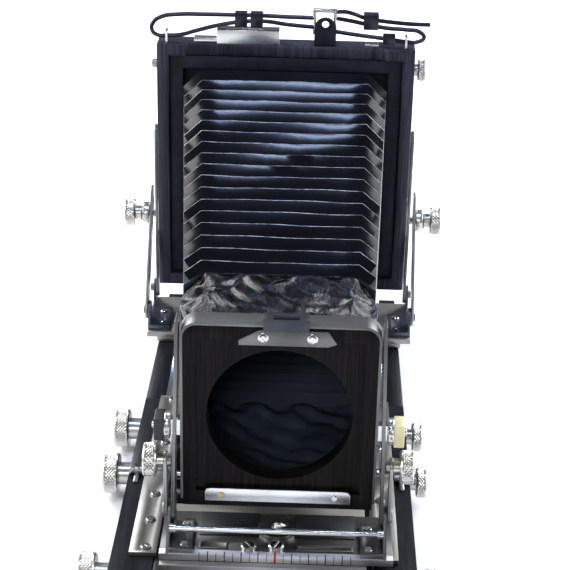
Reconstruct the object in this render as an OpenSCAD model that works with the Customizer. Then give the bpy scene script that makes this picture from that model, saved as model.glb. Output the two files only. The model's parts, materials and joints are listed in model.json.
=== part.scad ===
// Folding wooden view camera for sheet film, stood open with no lens fitted.
// +X is the right side seen from the lens, -Y is forwards and +Z is up.
// The origin is the tripod socket's centre on the flat underside of the bed.

/* [Bed] */
// Width of the bed
bed_w = 184; // [170:1:200]
// Height of the bed's wooden rails
bed_h = 30; // [28:1:36]
// Width of one rail of the box and of the front bed
rail_w = 26; // [24:1:28]
// Width of one rail of the rear bed
rear_rail_w = 13; // [10:0.5:13]
// Length of the middle box that holds the tripod socket
box_len = 103; // [96:1:110]
// How far the box reaches behind the tripod socket
box_back = 52; // [48:1:56]
// Length of the rear bed
rear_len = 180; // [165:1:200]
// Length of the folding front bed
flap_len = 188; // [180:1:230]
// Thickness of the cross boards that join the rails
board_t = 9; // [6:0.5:10]
// Length of the board that carries the tripod socket
socket_board_len = 40; // [34:1:44]
// Length of the other cross boards
cross_len = 11; // [8:1:14]
// Width of the channel that each rear rack slides in
groove_w = 4.5; // [4.3:0.1:6]
// Gap between pieces that slide past each other
slide_gap = 0.3; // [0.2:0.05:0.4]
// Radial gap between a pin and the hole that it turns in
run_gap = 0.05; // [0.03:0.01:0.1]

/* [Tripod socket] */
// Radius of the socket's thread
socket_r = 4.76; // [3.18:0.01:6]
// Outer radius of the brass bush
socket_bush_r = 9; // [7.5:0.5:11]

/* [Guide plates] */
// Width of the plates that hold the sliding frames down
guide_w = 16.5; // [15:0.5:18]
// Thickness of the guide plates
guide_t = 3; // [2:0.5:3.5]
// How far a guide plate overhangs the rail that it is screwed to
guide_lip = 1.5; // [1:0.25:2]
// Radius of the guide plates' screw heads
guide_screw_r = 3.2; // [2:0.1:3.6]
// Distance between the guide plates' screws
guide_screw_pitch = 30; // [24:1:34]
// From a guide plate's inner edge to its row of screws
guide_screw_in = 7; // [6:0.5:8]
// From a guide plate's front end to its first screw
guide_screw_end = 6; // [5:0.5:10]

/* [Focus drives] */
// Height of the cross shafts below the top of the bed
shaft_drop = 14; // [14:0.5:16]
// Radius of the cross shafts
shaft_r = 3; // [2.5:0.25:3.5]
// Pitch radius of the pinions
pinion_r = 5; // [4.5:0.25:5]
// Teeth on a pinion
pinion_teeth = 12; // [12:1:14]
// Width of a rack
rack_w = 3.5; // [3:0.25:3.8]
// Distance from the front shaft back to the box
front_shaft_back = 95; // [80:1:110]
// Distance from the box's front end to the lock rod
lock_rod_in = 23; // [16:1:28]
// Distance from the box's back end to the rear shaft
rear_shaft_in = 19; // [16:1:24]
// Outer radius of the brass bushes
bush_r = 4.6; // [4.2:0.1:5.5]
// Radius of the large focusing knobs
focus_knob_r = 13.5; // [11:0.5:15]
// Width of the large focusing knobs
focus_knob_w = 10; // [8:0.5:12]
// Radius of the small lock knobs
lock_knob_r = 10; // [8:0.5:12]
// Width of the small lock knobs
lock_knob_w = 7; // [6:0.5:9]
// Length of the neck behind a large focusing knob
focus_neck = 8; // [4:0.5:10]
// Length of the neck behind a small lock knob
lock_neck = 4.5; // [4:0.5:8]

/* [Front standard] */
// Distance from the tripod socket forwards to the face of the lens frame
front_y = 140; // [132:1:150]
// How far the standard is shifted to the right of the middle
shift_x = 7.5; // [0:0.5:12]
// Depth of the carriage plate from front to back
carriage_d = 68; // [62:1:74]
// Gap between the rails' inner faces and the carriage plate's edges
carriage_gap = 4.5; // [4:0.25:6]
// Thickness of the carriage and swing plates
plate_t = 4.4; // [4:0.2:5]
// Half the length of the slot for side shift
shift_slot = 48; // [44:1:50]
// Width of the slot for side shift
shift_slot_w = 12; // [10:0.5:14]
// Width of the swing plate that carries the brackets
swing_w = 139; // [137:1:144]
// Depth of the swing plate from front to back
swing_d = 47; // [44:1:54]
// Radius of the boss that the swing plate turns on
boss_r = 9; // [7:0.5:10]
// Height of the tilt pins above the swing plate
tilt_pin_h = 17; // [15:0.5:20]
// Radius of the tilt pins
pin_r = 3; // [2.5:0.25:3.5]
// Thickness of the sheet for brackets, uprights and struts
sheet_t = 2; // [1.6:0.1:2.2]
// Width of the uprights from front to back
upright_d = 14; // [12:0.5:16]
// Radius of the round bar between the brackets
bar_r = 1.8; // [1.5:0.1:2.2]
// Radius of the front tilt knobs
tilt_knob_r = 10.2; // [8:0.2:12]
// Width of the front tilt knobs
tilt_knob_w = 8; // [6:0.5:9]
// Length of the neck behind a front tilt knob
tilt_neck = 4; // [2:0.5:5]

/* [Lens frame] */
// Width of the wooden lens frame
lens_w = 112; // [110:1:114]
// Height of the lens frame with its metal band
lens_h = 120; // [116:1:126]
// Thickness of the lens frame
lens_t = 15; // [12:0.5:18]
// Radius of the lens frame's upper corners
lens_corner_r = 8; // [5:0.5:10]
// Thickness of the metal band round the lens frame
band_t = 1.6; // [1:0.1:1.6]
// Width of the lens board that the recess takes
board_w = 96; // [90:1:98]
// Height of the lens board that the recess takes
board_h = 99; // [92:1:99]
// Clearance round the lens board
board_gap = 0.5; // [0.3:0.1:0.8]
// Depth of the lens board recess
board_deep = 3; // [2:0.25:4]
// Radius of the round opening behind the lens board
lens_hole_r = 42.5; // [38:0.5:44]
// Height of the lens frame's middle above the top of the bed
lens_mid = 94; // [92:1:100]

/* [Rear standard] */
// Distance from the tripod socket back to the front of the rear frame
rear_y = 185; // [180:1:195]
// Width of the rear frame
frame_w = 190; // [186:1:190]
// Height of the rear frame
frame_h = 193; // [188:1:200]
// Depth of the rear frame from front to back
frame_d = 22; // [20:1:26]
// Width of the raised rim of the rear frame
rim_w = 9; // [7:0.5:10]
// Width of the step inside the rim
step_w = 10; // [8:0.5:12]
// Depth of the step inside the rim
step_d = 6; // [5:0.5:8]
// Height of the frame's lower edge above the top of the bed
frame_up = 30; // [28:1:34]
// Width of the rear base plate
base_w = 201; // [200:0.5:204]
// Depth of the rear base plate from front to back
base_d = 64; // [62:1:70]
// Radius of the rear knobs
rear_knob_r = 10.5; // [8:0.5:12]
// Width of the rear knobs
rear_knob_w = 8.5; // [6:0.5:9]
// Length of the neck behind a rear knob
rear_neck = 10.5; // [6:0.5:11]

/* [Camera back] */
// Width of the film that the back takes, along X
film_w = 127; // [120:1:127]
// Height of the film that the back takes
film_h = 102; // [96:1:104]
// Thickness of the reversible back
back_t = 14; // [12:0.5:16]
// Thickness of the ground glass
glass_t = 2; // [1.5:0.25:3]
// Thickness of the frame round the ground glass
glass_frame_t = 8; // [7:0.5:10]

/* [Bellows and strap] */
// Thickness that the folded bellows wall takes up
bellows_wall = 7; // [5:0.5:9]
// Distance from the lens frame's face back to the soft bag's rear edge
bag_reach = 107; // [95:1:115]
// Radius of the carrying strap's cord
strap_r = 1.6; // [1.2:0.1:2]

/* [Hidden] */
$fn = 48;

// Bed
half_w = bed_w / 2;
rail_in = half_w - rail_w;
carriage_w = 2 * (rail_in - carriage_gap);
rear_in = half_w - rear_rail_w;
rack_out = rear_in - 0.5;
rack_in = rack_out - rack_w;
groove_out = rear_in;
groove_in = rear_in - groove_w;
box_front = box_back - box_len;
flap_front = box_front - flap_len;
rear_end = box_back + rear_len;
guide_in = rail_in - guide_lip;
guide_top = bed_h + guide_t;
shaft_z = bed_h - shaft_drop;
front_shaft_y = box_front - front_shaft_back;
lock_rod_y = box_front + lock_rod_in;
rear_shaft_y = box_back - rear_shaft_in;
hinge_y = box_front;
hinge_z = bed_h;
hinge_r = 2.5;
hinge_leaf = half_w - guide_in - guide_w - 1;
hinge_x = (half_w + guide_in + guide_w) / 2;

// Racks and pinions
module_mm = 2 * pinion_r / pinion_teeth;
rack_pitch = PI * module_mm;
rack_line = shaft_z + pinion_r;
rack_root = rack_line + 1.25 * module_mm;
mesh_gap = 0.18;
runner_in = rail_in - 8;
runner_out = rail_in - 0.5;
runner_base = rack_root + 2;
runner_top = bed_h - slide_gap;

// Front standard
carriage_z = runner_top;
carriage_top = carriage_z + plate_t;
carriage_front = -front_y - 20;
carriage_mid_y = -front_y + lens_t;
swing_z = carriage_top + slide_gap;
swing_top = swing_z + plate_t;
swing_front = -front_y - 15;
swing_half = swing_w / 2;
tilt_y = -front_y + lens_t / 2;
tilt_z = swing_top + tilt_pin_h;
band_half = lens_w / 2 + band_t;
upright_low_x = 61.3;
upright_top_x = band_half + 0.7;
leg_x = upright_low_x + sheet_t + slide_gap;
strut_x = leg_x + sheet_t + slide_gap;
knob_x = strut_x + sheet_t;
tilt_knob_z = tilt_z + 34;
lens_z = bed_h + lens_mid;
lens_low = lens_z - lens_h / 2;
lens_top = lens_z + lens_h / 2;
axis_z = lens_z - 10.5;
rise_up = 35;
rise_down = 3;
slot_d = 6;
block_h = 10;
stud_r = 2.5;

// Rear standard
frame_half = frame_w / 2;
frame_low = bed_h + frame_up;
frame_top = frame_low + frame_h;
frame_back = rear_y + frame_d;
frame_mid_y = rear_y + frame_d / 2;
open_half = frame_half - rim_w - step_w;
open_low = frame_low + rim_w + step_w;
open_top = frame_top - rim_w - step_w;
base_front = rear_y - 43;
lower_z = bed_h + slide_gap;
base_z = lower_z + plate_t;
base_top = base_z + plate_t;
foot_t = 4;
foot_top = base_top + foot_t;
brace_y = base_front + 12;
pivot_z = base_top + 13;
boss_t = 0.8;
arm_x = frame_half + boss_t + 0.2;
ear_x = arm_x + sheet_t + slide_gap;
brace_x = ear_x + sheet_t + slide_gap;
rear_stud_x = brace_x + sheet_t + slide_gap;
rear_axis_z = frame_low + 55;
arm_top = rear_axis_z + 72;
back_low = frame_low + 5;
back_top = frame_top - 5;
back_mid = (frame_low + frame_top) / 2;
glass_y = frame_back + slide_gap + back_t + slide_gap;

// Bellows
bag_y = -front_y + bag_reach;
mid_half = 61;
mid_low = frame_low + 14;
mid_top = bed_h + 137;
front_half = 50;
front_half_h = 52;

// Shapes
module block(lo, hi) { translate(lo) cube(hi - lo); }

// A round rod along X
module rod(x0, x1, y, z, r) {
    translate([x0, y, z]) rotate([0, 90, 0]) cylinder(h = x1 - x0, r = r);
}

module both_sides(mid = 0) {
    translate([mid, 0, 0]) {
        children();
        mirror([1, 0, 0]) children();
    }
}

// A flat outline in Y and Z, made into a sheet that faces along X
module side_sheet(x, t) {
    translate([x, 0, 0]) rotate([90, 0, 90]) linear_extrude(t) children();
}

// A flat outline in X and Z, made into a plate whose front face is at y
module face_plate(y, t) {
    translate([0, y + t, 0]) rotate([90, 0, 0]) linear_extrude(t) children();
}

// A strip with round ends between two points
module strip(a, b, r) {
    long = norm(b - a);
    translate(a) circle(r);
    translate(b) circle(r);
    translate(a) rotate(atan2(b[1] - a[1], b[0] - a[0])) translate([0, -r]) square([long, 2 * r]);
}

// A knob with chamfered rims and a neck, turned about X, its neck starting at x0
module knob(x0, y, z, r, w, neck_r, neck_l) {
    chamfer = 0.8;
    translate([x0, y, z]) rotate([0, 90, 0]) rotate_extrude() polygon([[0, 0], [neck_r, 0],
        [neck_r, neck_l], [r - chamfer, neck_l], [r, neck_l + chamfer],
        [r, neck_l + w - chamfer], [r - chamfer, neck_l + w], [0, neck_l + w]]);
}

// Involute pinion
base_r = pinion_r * cos(20);
function roll(r) = sqrt(max(0, pow(r / base_r, 2) - 1)) * 180 / PI;
function involute(r) = roll(r) - atan(sqrt(max(0, pow(r / base_r, 2) - 1)));
tip_r = pinion_r + 0.9 * module_mm;
root_r = pinion_r - 1.2 * module_mm;
tooth_half = 90 / pinion_teeth + involute(pinion_r) - mesh_gap * 90 / (PI * pinion_r);
flank = [for (i = [0:5]) base_r + (tip_r - base_r) * i / 5];
function polar(r, a) = [r * cos(a), r * sin(a)];
module pinion(x0, x1, y) {
    translate([x0, y, shaft_z]) rotate([90, 0, 90]) linear_extrude(x1 - x0) difference() {
        polygon([for (t = [0:pinion_teeth - 1]) let (a = 90 + 360 * (t + 0.5) / pinion_teeth) each concat(
            [polar(root_r, a - tooth_half)], [for (r = flank) polar(r, a - tooth_half + involute(r))],
            [for (i = [5:-1:0]) polar(flank[i], a + tooth_half - involute(flank[i]))],
            [polar(root_r, a + tooth_half)])]);
        circle(shaft_r);
    }
}

// A toothed bar along Y with its teeth downwards, cut to mesh with a pinion at shaft_y
module rack(x0, y0, y1, top, shaft_y) {
    first = ceil((y0 + rack_pitch / 2 - shaft_y) / rack_pitch);
    last = floor((y1 - rack_pitch / 2 - shaft_y) / rack_pitch);
    lean = tan(20) * module_mm;
    half = rack_pitch / 4 - mesh_gap / 2;
    side_sheet(x0, rack_w) polygon(concat([[y1, top], [y0, top], [y0, rack_root]],
        [for (i = [first:last]) let (c = shaft_y + i * rack_pitch) each [
            [c - half - 1.25 * lean, rack_root], [c - half + 0.9 * lean, rack_line - 0.9 * module_mm],
            [c + half - 0.9 * lean, rack_line - 0.9 * module_mm], [c + half + 1.25 * lean, rack_root]]],
        [[y1, rack_root]]));
}

// The bed

module box_rail() {
    difference() {
        block([rail_in, box_front + slide_gap, 0], [half_w, box_back, bed_h]);
        block([groove_in, box_front - 1, board_t], [groove_out, box_back + 1, bed_h + 1]);
        for (y = [lock_rod_y, rear_shaft_y]) rod(rail_in - 1, half_w + 1, y, shaft_z, bush_r);
    }
}

module base_box() {
    color([0.13, 0.12, 0.14]) difference() {
        union() {
            both_sides() box_rail();
            block([-rail_in, -socket_board_len / 2, 0], [rail_in, socket_board_len / 2, board_t]);
            block([-rail_in, box_front + slide_gap, 0], [rail_in, box_front + cross_len, board_t]);
            block([-rail_in, box_back - cross_len, 0], [rail_in, box_back, board_t]);
        }
        translate([0, 0, -1]) cylinder(h = board_t + 2, r = socket_bush_r);
    }
}

module rear_rails() {
    color([0.13, 0.12, 0.14]) {
        both_sides() block([rear_in, box_back, 0], [half_w, rear_end, bed_h]);
        block([-rear_in, rear_end - cross_len, 0], [rear_in, rear_end, board_t]);
    }
}

module tripod_bush() {
    color([0.72, 0.6, 0.35]) difference() {
        cylinder(h = board_t, r = socket_bush_r);
        translate([0, 0, -1]) cylinder(h = board_t + 2, r = socket_r);
    }
}

// A pair of guide plates from y0 to y1, with countersunk screws in a row
module guide_plates(y0, y1) {
    count = floor((y1 - y0 - 2 * guide_screw_end) / guide_screw_pitch);
    color([0.62, 0.61, 0.57]) both_sides() {
        difference() {
            block([guide_in, y0, bed_h], [guide_in + guide_w, y1, guide_top]);
            for (i = [0:count])
                translate([guide_in + guide_screw_in, y0 + guide_screw_end + i * guide_screw_pitch, guide_top - 1.5])
                    cylinder(h = 2, r = guide_screw_r);
        }
        for (i = [0:count]) translate([guide_in + guide_screw_in, y0 + guide_screw_end + i * guide_screw_pitch, guide_top - 1.5])
            cylinder(h = 1.3, r = guide_screw_r - 0.15);
    }
}

module rear_guide_plates() { guide_plates(box_front + 0.6, box_back); }
module front_guide_plates() { guide_plates(front_shaft_y, box_front - 0.6); }

module bed_bushes() {
    color([0.72, 0.6, 0.35]) both_sides() for (y = [lock_rod_y, rear_shaft_y]) difference() {
        union() {
            rod(groove_out + 0.1, half_w, y, shaft_z, bush_r);
            rod(half_w, half_w + 1, y, shaft_z, bush_r + 2);
        }
        rod(groove_out - 1, half_w + 2, y, shaft_z, shaft_r + run_gap);
    }
}

// Leaf of the bed hinge with the numbered thirds of its knuckle, on one side of the hinge line
module hinge_leaf(side, knuckles) {
    third = hinge_leaf / 3;
    both_sides() for (k = knuckles) {
        x = hinge_x - hinge_leaf / 2 + k * third + 0.1;
        y1 = hinge_y + side * (hinge_r + 9);
        difference() {
            union() {
                rod(x, x + third - 0.2, hinge_y, hinge_z + hinge_r, hinge_r);
                block([x, min(hinge_y, y1), hinge_z], [x + third - 0.2, max(hinge_y, y1), hinge_z + 1.2]);
            }
            rod(x - 1, x + third + 1, hinge_y, hinge_z + hinge_r, 1.2 + (side < 0 ? run_gap : 0));
        }
    }
}

module bed_hinge() {
    color([0.62, 0.61, 0.57]) {
        hinge_leaf(1, [0, 2]);
        both_sides() rod(hinge_x - hinge_leaf / 2 + 0.1, hinge_x + hinge_leaf / 2 - 0.1, hinge_y,
            hinge_z + hinge_r, 1.2);
    }
}

module flap_hinge() { color([0.62, 0.61, 0.57]) hinge_leaf(-1, [1]); }

module flap_rails() {
    color([0.13, 0.12, 0.14]) difference() {
        union() {
            both_sides() block([rail_in, flap_front, 0], [half_w, box_front - slide_gap, bed_h]);
            block([-rail_in, flap_front, 0], [rail_in, flap_front + cross_len, board_t]);
            block([-rail_in, box_front - cross_len - 10, 0], [rail_in, box_front - 10, board_t]);
        }
        rod(-half_w - 1, half_w + 1, front_shaft_y, shaft_z, shaft_r + run_gap);
    }
}

// The front focusing frame

runner_front = flap_front + cross_len + 2;
runner_back = box_front - 20;

module front_runners() {
    color([0.13, 0.12, 0.14]) {
        both_sides() block([runner_in, runner_front, runner_base], [runner_out, runner_back, runner_top]);
    }
}

module front_racks() {
    color([0.72, 0.6, 0.35]) both_sides()
        rack(runner_in + 1, front_shaft_y - 40, front_shaft_y + 70, runner_base, front_shaft_y);
}

module carriage_plate() {
    color([0.5, 0.49, 0.46]) difference() {
        block([-carriage_w / 2, carriage_front, carriage_z],
            [carriage_w / 2, carriage_front + carriage_d, carriage_top]);
        block([-shift_slot, carriage_mid_y - shift_slot_w / 2, carriage_z - 1],
            [shift_slot, carriage_mid_y + shift_slot_w / 2, carriage_top + 1]);
    }
}

module swing_pivot() {
    color([0.75, 0.75, 0.73]) translate([shift_x, carriage_mid_y, 0]) {
        block([-boss_r, -shift_slot_w / 2 + 0.1, carriage_z - slide_gap],
            [boss_r, shift_slot_w / 2 - 0.1, carriage_top]);
        translate([0, 0, carriage_z - 2.5]) cylinder(h = 2.5 - slide_gap, r = boss_r + 3);
        difference() {
            union() {
                translate([0, 0, carriage_top + slide_gap / 2])
                    cylinder(h = swing_top - carriage_top, r = boss_r);
                translate([0, 0, carriage_top]) cylinder(h = 1, r = shift_slot_w / 2 - 0.2);
                translate([0, 0, swing_top + slide_gap / 2]) cylinder(h = 2, r = boss_r + 3);
            }
            translate([0, 0, swing_top]) cylinder(h = 4, r = 4, $fn = 6);
        }
    }
}

module swing_plate() {
    color([0.55, 0.54, 0.5]) difference() {
        block([shift_x - swing_half, swing_front, swing_z],
            [shift_x + swing_half, swing_front + swing_d, swing_top]);
        translate([shift_x, carriage_mid_y, swing_z - 1]) cylinder(h = plate_t + 2, r = boss_r + run_gap);
    }
}

module foot_brackets() {
    color([0.45, 0.45, 0.44]) both_sides(shift_x) {
        difference() {
            block([50, swing_front + 1, swing_top], [leg_x, swing_front + 35, swing_top + 2.5]);
            for (y = [swing_front + 7, swing_front + 29])
                translate([55, y, swing_top - 1]) cylinder(h = 5, r = 2.6);
        }
        difference() {
            side_sheet(leg_x, sheet_t) union() {
                polygon([[swing_front, swing_top], [swing_front + 36, swing_top],
                    [tilt_y + 6, tilt_z], [tilt_y - 6, tilt_z]]);
                translate([tilt_y, tilt_z]) circle(6);
            }
            rod(leg_x - 1, leg_x + sheet_t + 1, tilt_y, tilt_z, pin_r + run_gap);
        }
        for (y = [swing_front + 7, swing_front + 29])
            translate([55, y, swing_top]) cylinder(h = 2.2, r = 2.5);
    }
}

bar_z = swing_top + 11;
bar_y = tilt_y - 12;
module cross_bar() {
    color([0.75, 0.75, 0.73]) translate([shift_x, 0, 0]) {
        rod(-leg_x, leg_x, bar_y, bar_z, bar_r);
        both_sides() rod(leg_x - 3.5, leg_x, bar_y, bar_z, bar_r + 1.2);
    }
}

// Upright that splays outwards towards its foot, with a slot for rise and fall
module front_uprights() {
    low = swing_top + 6;
    color([0.5, 0.5, 0.48]) both_sides(shift_x) difference() {
        face_plate(tilt_y - upright_d / 2, upright_d) polygon([[upright_low_x, low],
            [upright_low_x + sheet_t, low], [upright_low_x + sheet_t, tilt_z + 12],
            [upright_top_x + sheet_t, lens_top], [upright_top_x, lens_top], [upright_low_x, tilt_z + 12]]);
        block([50, tilt_y - slot_d / 2, axis_z - rise_down - block_h / 2 - 1],
            [80, tilt_y + slot_d / 2, axis_z + rise_up + block_h / 2 + 1]);
        rod(50, 80, tilt_y, tilt_z, pin_r);
    }
}

module front_struts() {
    color([0.6, 0.6, 0.57]) both_sides(shift_x) {
        difference() {
            side_sheet(strut_x, sheet_t) strip([tilt_y, tilt_z], [tilt_y, tilt_knob_z], 5.5);
            rod(strut_x - 1, strut_x + sheet_t + 1, tilt_y, tilt_knob_z, stud_r);
        }
        rod(upright_low_x, strut_x, tilt_y, tilt_z, pin_r);
        rod(strut_x + sheet_t, strut_x + sheet_t + 1.2, tilt_y, tilt_z, 4);
        rod(leg_x - slide_gap, knob_x, tilt_y, tilt_knob_z, stud_r);
        rod(leg_x - slide_gap, strut_x, tilt_y, tilt_knob_z, 4);
    }
}

// Studs that carry the lens frame, held in blocks that slide in the uprights
module axis_studs() {
    color([0.75, 0.75, 0.73]) both_sides(shift_x) {
        rod(lens_w / 2 - 6, upright_low_x + sheet_t + slide_gap, tilt_y, axis_z, stud_r);
        block([band_half + 0.3, tilt_y - slot_d / 2 + 0.2, axis_z - block_h / 2],
            [upright_low_x + sheet_t, tilt_y + slot_d / 2 - 0.2, axis_z + block_h / 2]);
    }
}

module rise_lock() {
    x = upright_low_x + sheet_t + slide_gap;
    rod(x, x + 3.4, tilt_y, axis_z, 8.2);
    block([x + 3.4, tilt_y - 7, axis_z - 7], [x + 9.6, tilt_y + 7, axis_z + 7]);
    rod(x + 9.6, x + 10.8, tilt_y, axis_z, 2.2);
}
module rise_lock_left() { color([0.2, 0.2, 0.19]) translate([shift_x, 0, 0]) mirror([1, 0, 0]) rise_lock(); }
module rise_lock_right() { color([0.9, 0.88, 0.7]) translate([shift_x, 0, 0]) rise_lock(); }

module tilt_knob() { knob(knob_x + 0.1, tilt_y, tilt_knob_z, tilt_knob_r, tilt_knob_w, 5, tilt_neck); }
module front_tilt_knob_left() {
    color([0.8, 0.79, 0.75]) translate([shift_x, 0, 0]) mirror([1, 0, 0]) tilt_knob();
}
module front_tilt_knob_right() { color([0.8, 0.79, 0.75]) translate([shift_x, 0, 0]) tilt_knob(); }

// The lens frame

module lens_outline(w, h, r) {
    translate([0, h / 2]) union() {
        translate([0, -r / 2]) square([w, h - r], center = true);
        square([w - 2 * r, h], center = true);
        for (x = [-1, 1]) translate([x * (w / 2 - r), h / 2 - r]) circle(r);
    }
}

module lens_frame() {
    color([0.14, 0.12, 0.11]) translate([shift_x, 0, 0]) difference() {
        face_plate(-front_y, lens_t) translate([0, lens_low])
            lens_outline(lens_w, lens_h - band_t, lens_corner_r);
        block([-board_w / 2 - board_gap, -front_y - 1, lens_z - board_h / 2 - board_gap],
            [board_w / 2 + board_gap, -front_y + board_deep, lens_z + board_h / 2 + board_gap]);
        translate([0, -front_y - 1, lens_z]) rotate([-90, 0, 0]) cylinder(h = lens_t + 2, r = lens_hole_r, $fn = 96);
        for (s = [-1, 1]) rod(s > 0 ? lens_w / 2 - 6.5 : -lens_w / 2 - 1,
            s > 0 ? lens_w / 2 + 1 : -lens_w / 2 + 6.5, tilt_y, axis_z, stud_r + run_gap);
    }
}

module frame_band() {
    color([0.6, 0.6, 0.57]) translate([shift_x, 0, 0]) difference() {
        face_plate(-front_y, lens_t) difference() {
            translate([0, lens_low]) lens_outline(lens_w + 2 * band_t, lens_h, lens_corner_r + band_t);
            translate([0, lens_low]) lens_outline(lens_w, lens_h - band_t, lens_corner_r);
            translate([-80, lens_low - 1]) square([160, 5]);
        }
        rod(-80, 80, tilt_y, axis_z, stud_r + run_gap + 0.2);
    }
}

lock_plate_x = 4;
lock_low = lens_z + board_h / 2 - 2;
module board_lock_plate() {
    color([0.6, 0.6, 0.57]) translate([shift_x + lock_plate_x, 0, lock_low])
        face_plate(-front_y - 1.6, 1.6) polygon([[-28, 0], [23, 0], [28, 2], [23, 9.5], [-16.5, 9.5], [-28, 3]]);
}

name_low = lens_low + 4;
module name_plate() {
    color([0.7, 0.7, 0.68]) translate([shift_x, 0, name_low]) face_plate(-front_y - 1.5, 1.5)
        lens_outline(86, 8.6, 3.5);
}

module plate_screws() {
    color([0.78, 0.7, 0.5]) translate([shift_x, 0, 0]) {
        for (x = [-12, 16]) translate([x, -front_y - 2.8, lock_low + 5]) rotate([-90, 0, 0])
            cylinder(h = 1.2, r = 2.8);
        for (x = [-33.5, 33.5]) translate([x, -front_y - 2.1, name_low + 4]) rotate([-90, 0, 0])
            cylinder(h = 0.6, r = 1.7);
    }
}

module front_bellows_frame() {
    color([0.08, 0.08, 0.09]) translate([shift_x, -front_y + lens_t, lens_z]) difference() {
        block([-front_half, 0, -front_half_h], [front_half, 3, front_half_h]);
        block([-44, -1, -46], [44, 4, 46]);
    }
}

slider_x = 3;
module board_lock_slider() {
    low = lens_top - 2.4;
    top = lens_top + 5;
    color([0.16, 0.16, 0.18]) translate([shift_x + slider_x, -front_y, 0]) {
        block([-13, -3.2, low], [13, -slide_gap, top]);
        block([-13, -slide_gap, lens_top + slide_gap], [13, 6, top]);
        both_sides() block([7.5, -3.2, top], [11, 3, top + 4.5]);
        rod(-7.5, 7.5, -1, top + 1.5, 1);
    }
}

// The bellows: hollow straight-sided tubes that stand for the folded leather. Each end is a list of
// its Y, the X of its middle, its half width, its lowest and its highest Z.

function end_corners(e, inset) = [for (c = [[-1, 0], [1, 0], [1, 1], [-1, 1]])
    [e[1] + c[0] * (e[2] - inset), e[0], c[1] == 0 ? e[3] + inset : e[4] - inset]];

module bellows_tube(front, rear) {
    polyhedron(
        points = concat(end_corners(front, 0), end_corners(front, bellows_wall),
            end_corners(rear, 0), end_corners(rear, bellows_wall)),
        faces = [for (i = [0:3]) let (j = (i + 1) % 4) each [
            [i, 4 + i, 4 + j, j],
            [8 + i, 8 + j, 12 + j, 12 + i],
            [i, j, 8 + j, 8 + i],
            [4 + j, 4 + i, 12 + i, 12 + j]
        ]]);
}

module bellows_pleats() {
    color([0.07, 0.07, 0.1]) bellows_tube([bag_y, shift_x / 2, mid_half, mid_low, mid_top],
        [rear_y + step_d - 3.2, 0, open_half - 0.5, open_low + 0.5, open_top - 0.5]);
}

module bellows_bag() {
    color([0.07, 0.07, 0.1]) bellows_tube(
        [lens_t - front_y + 3.3, shift_x, front_half, lens_z - front_half_h, lens_z + front_half_h],
        [bag_y - 0.3, shift_x / 2, mid_half, mid_low, mid_top]);
}

// Cross shafts and their knobs

module front_focus_shaft() {
    color([0.75, 0.75, 0.73]) {
        rod(-half_w - 3, half_w + 3, front_shaft_y, shaft_z, shaft_r);
        both_sides() pinion(runner_in + 1, runner_in + 1 + rack_w, front_shaft_y);
    }
}
module rear_focus_shaft() {
    color([0.75, 0.75, 0.73]) {
        rod(-half_w - 3, half_w + 3, rear_shaft_y, shaft_z, shaft_r);
        both_sides() pinion(rack_in, rack_out, rear_shaft_y);
    }
}

module left_focus_knob(y) {
    mirror([1, 0, 0]) difference() {
        knob(half_w + 1.2, y, shaft_z, focus_knob_r, focus_knob_w, 7.5, focus_neck);
        rod(half_w - 1, half_w + 3, y, shaft_z, shaft_r);
    }
}
module right_lock_knob(y, gap) {
    difference() {
        knob(half_w + 1.2, y, shaft_z, lock_knob_r, lock_knob_w, 5.5, lock_neck);
        rod(half_w - 1, half_w + 3 + gap, y, shaft_z, shaft_r + gap);
    }
}
module front_focus_knob() { color([0.8, 0.79, 0.75]) left_focus_knob(front_shaft_y); }
module rear_focus_knob() { color([0.8, 0.79, 0.75]) left_focus_knob(rear_shaft_y); }
module front_lock_knob() { color([0.8, 0.79, 0.75]) right_lock_knob(front_shaft_y, run_gap); }
module rear_lock_knob() { color([0.8, 0.79, 0.75]) right_lock_knob(rear_shaft_y, run_gap); }
module bed_lock_rod() {
    color([0.8, 0.79, 0.75]) {
        left_focus_knob(lock_rod_y);
        right_lock_knob(lock_rod_y, 0);
        rod(-half_w - 3, half_w + 3, lock_rod_y, shaft_z, shaft_r);
    }
}

// The rear carriage

module rear_racks() {
    color([0.75, 0.77, 0.8]) both_sides() {
        rack(rack_in, rear_shaft_y - 24, rear_shaft_y + 75, bed_h - 2, rear_shaft_y);
        block([rack_in, rear_shaft_y + 75, rack_root], [rack_out, base_front + base_d, bed_h - 2]);
        block([rack_in, base_front + 6, bed_h - 2], [rack_out, base_front + base_d, lower_z]);
    }
}

module rear_lower_plate() {
    color([0.5, 0.49, 0.46])
        block([-half_w - 1, base_front + 1.5, lower_z], [half_w + 1, base_front + base_d, base_z]);
}
module rear_base_plate() {
    color([0.55, 0.54, 0.5])
        block([-base_w / 2, base_front, base_z], [base_w / 2, base_front + base_d, base_top]);
}

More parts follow.
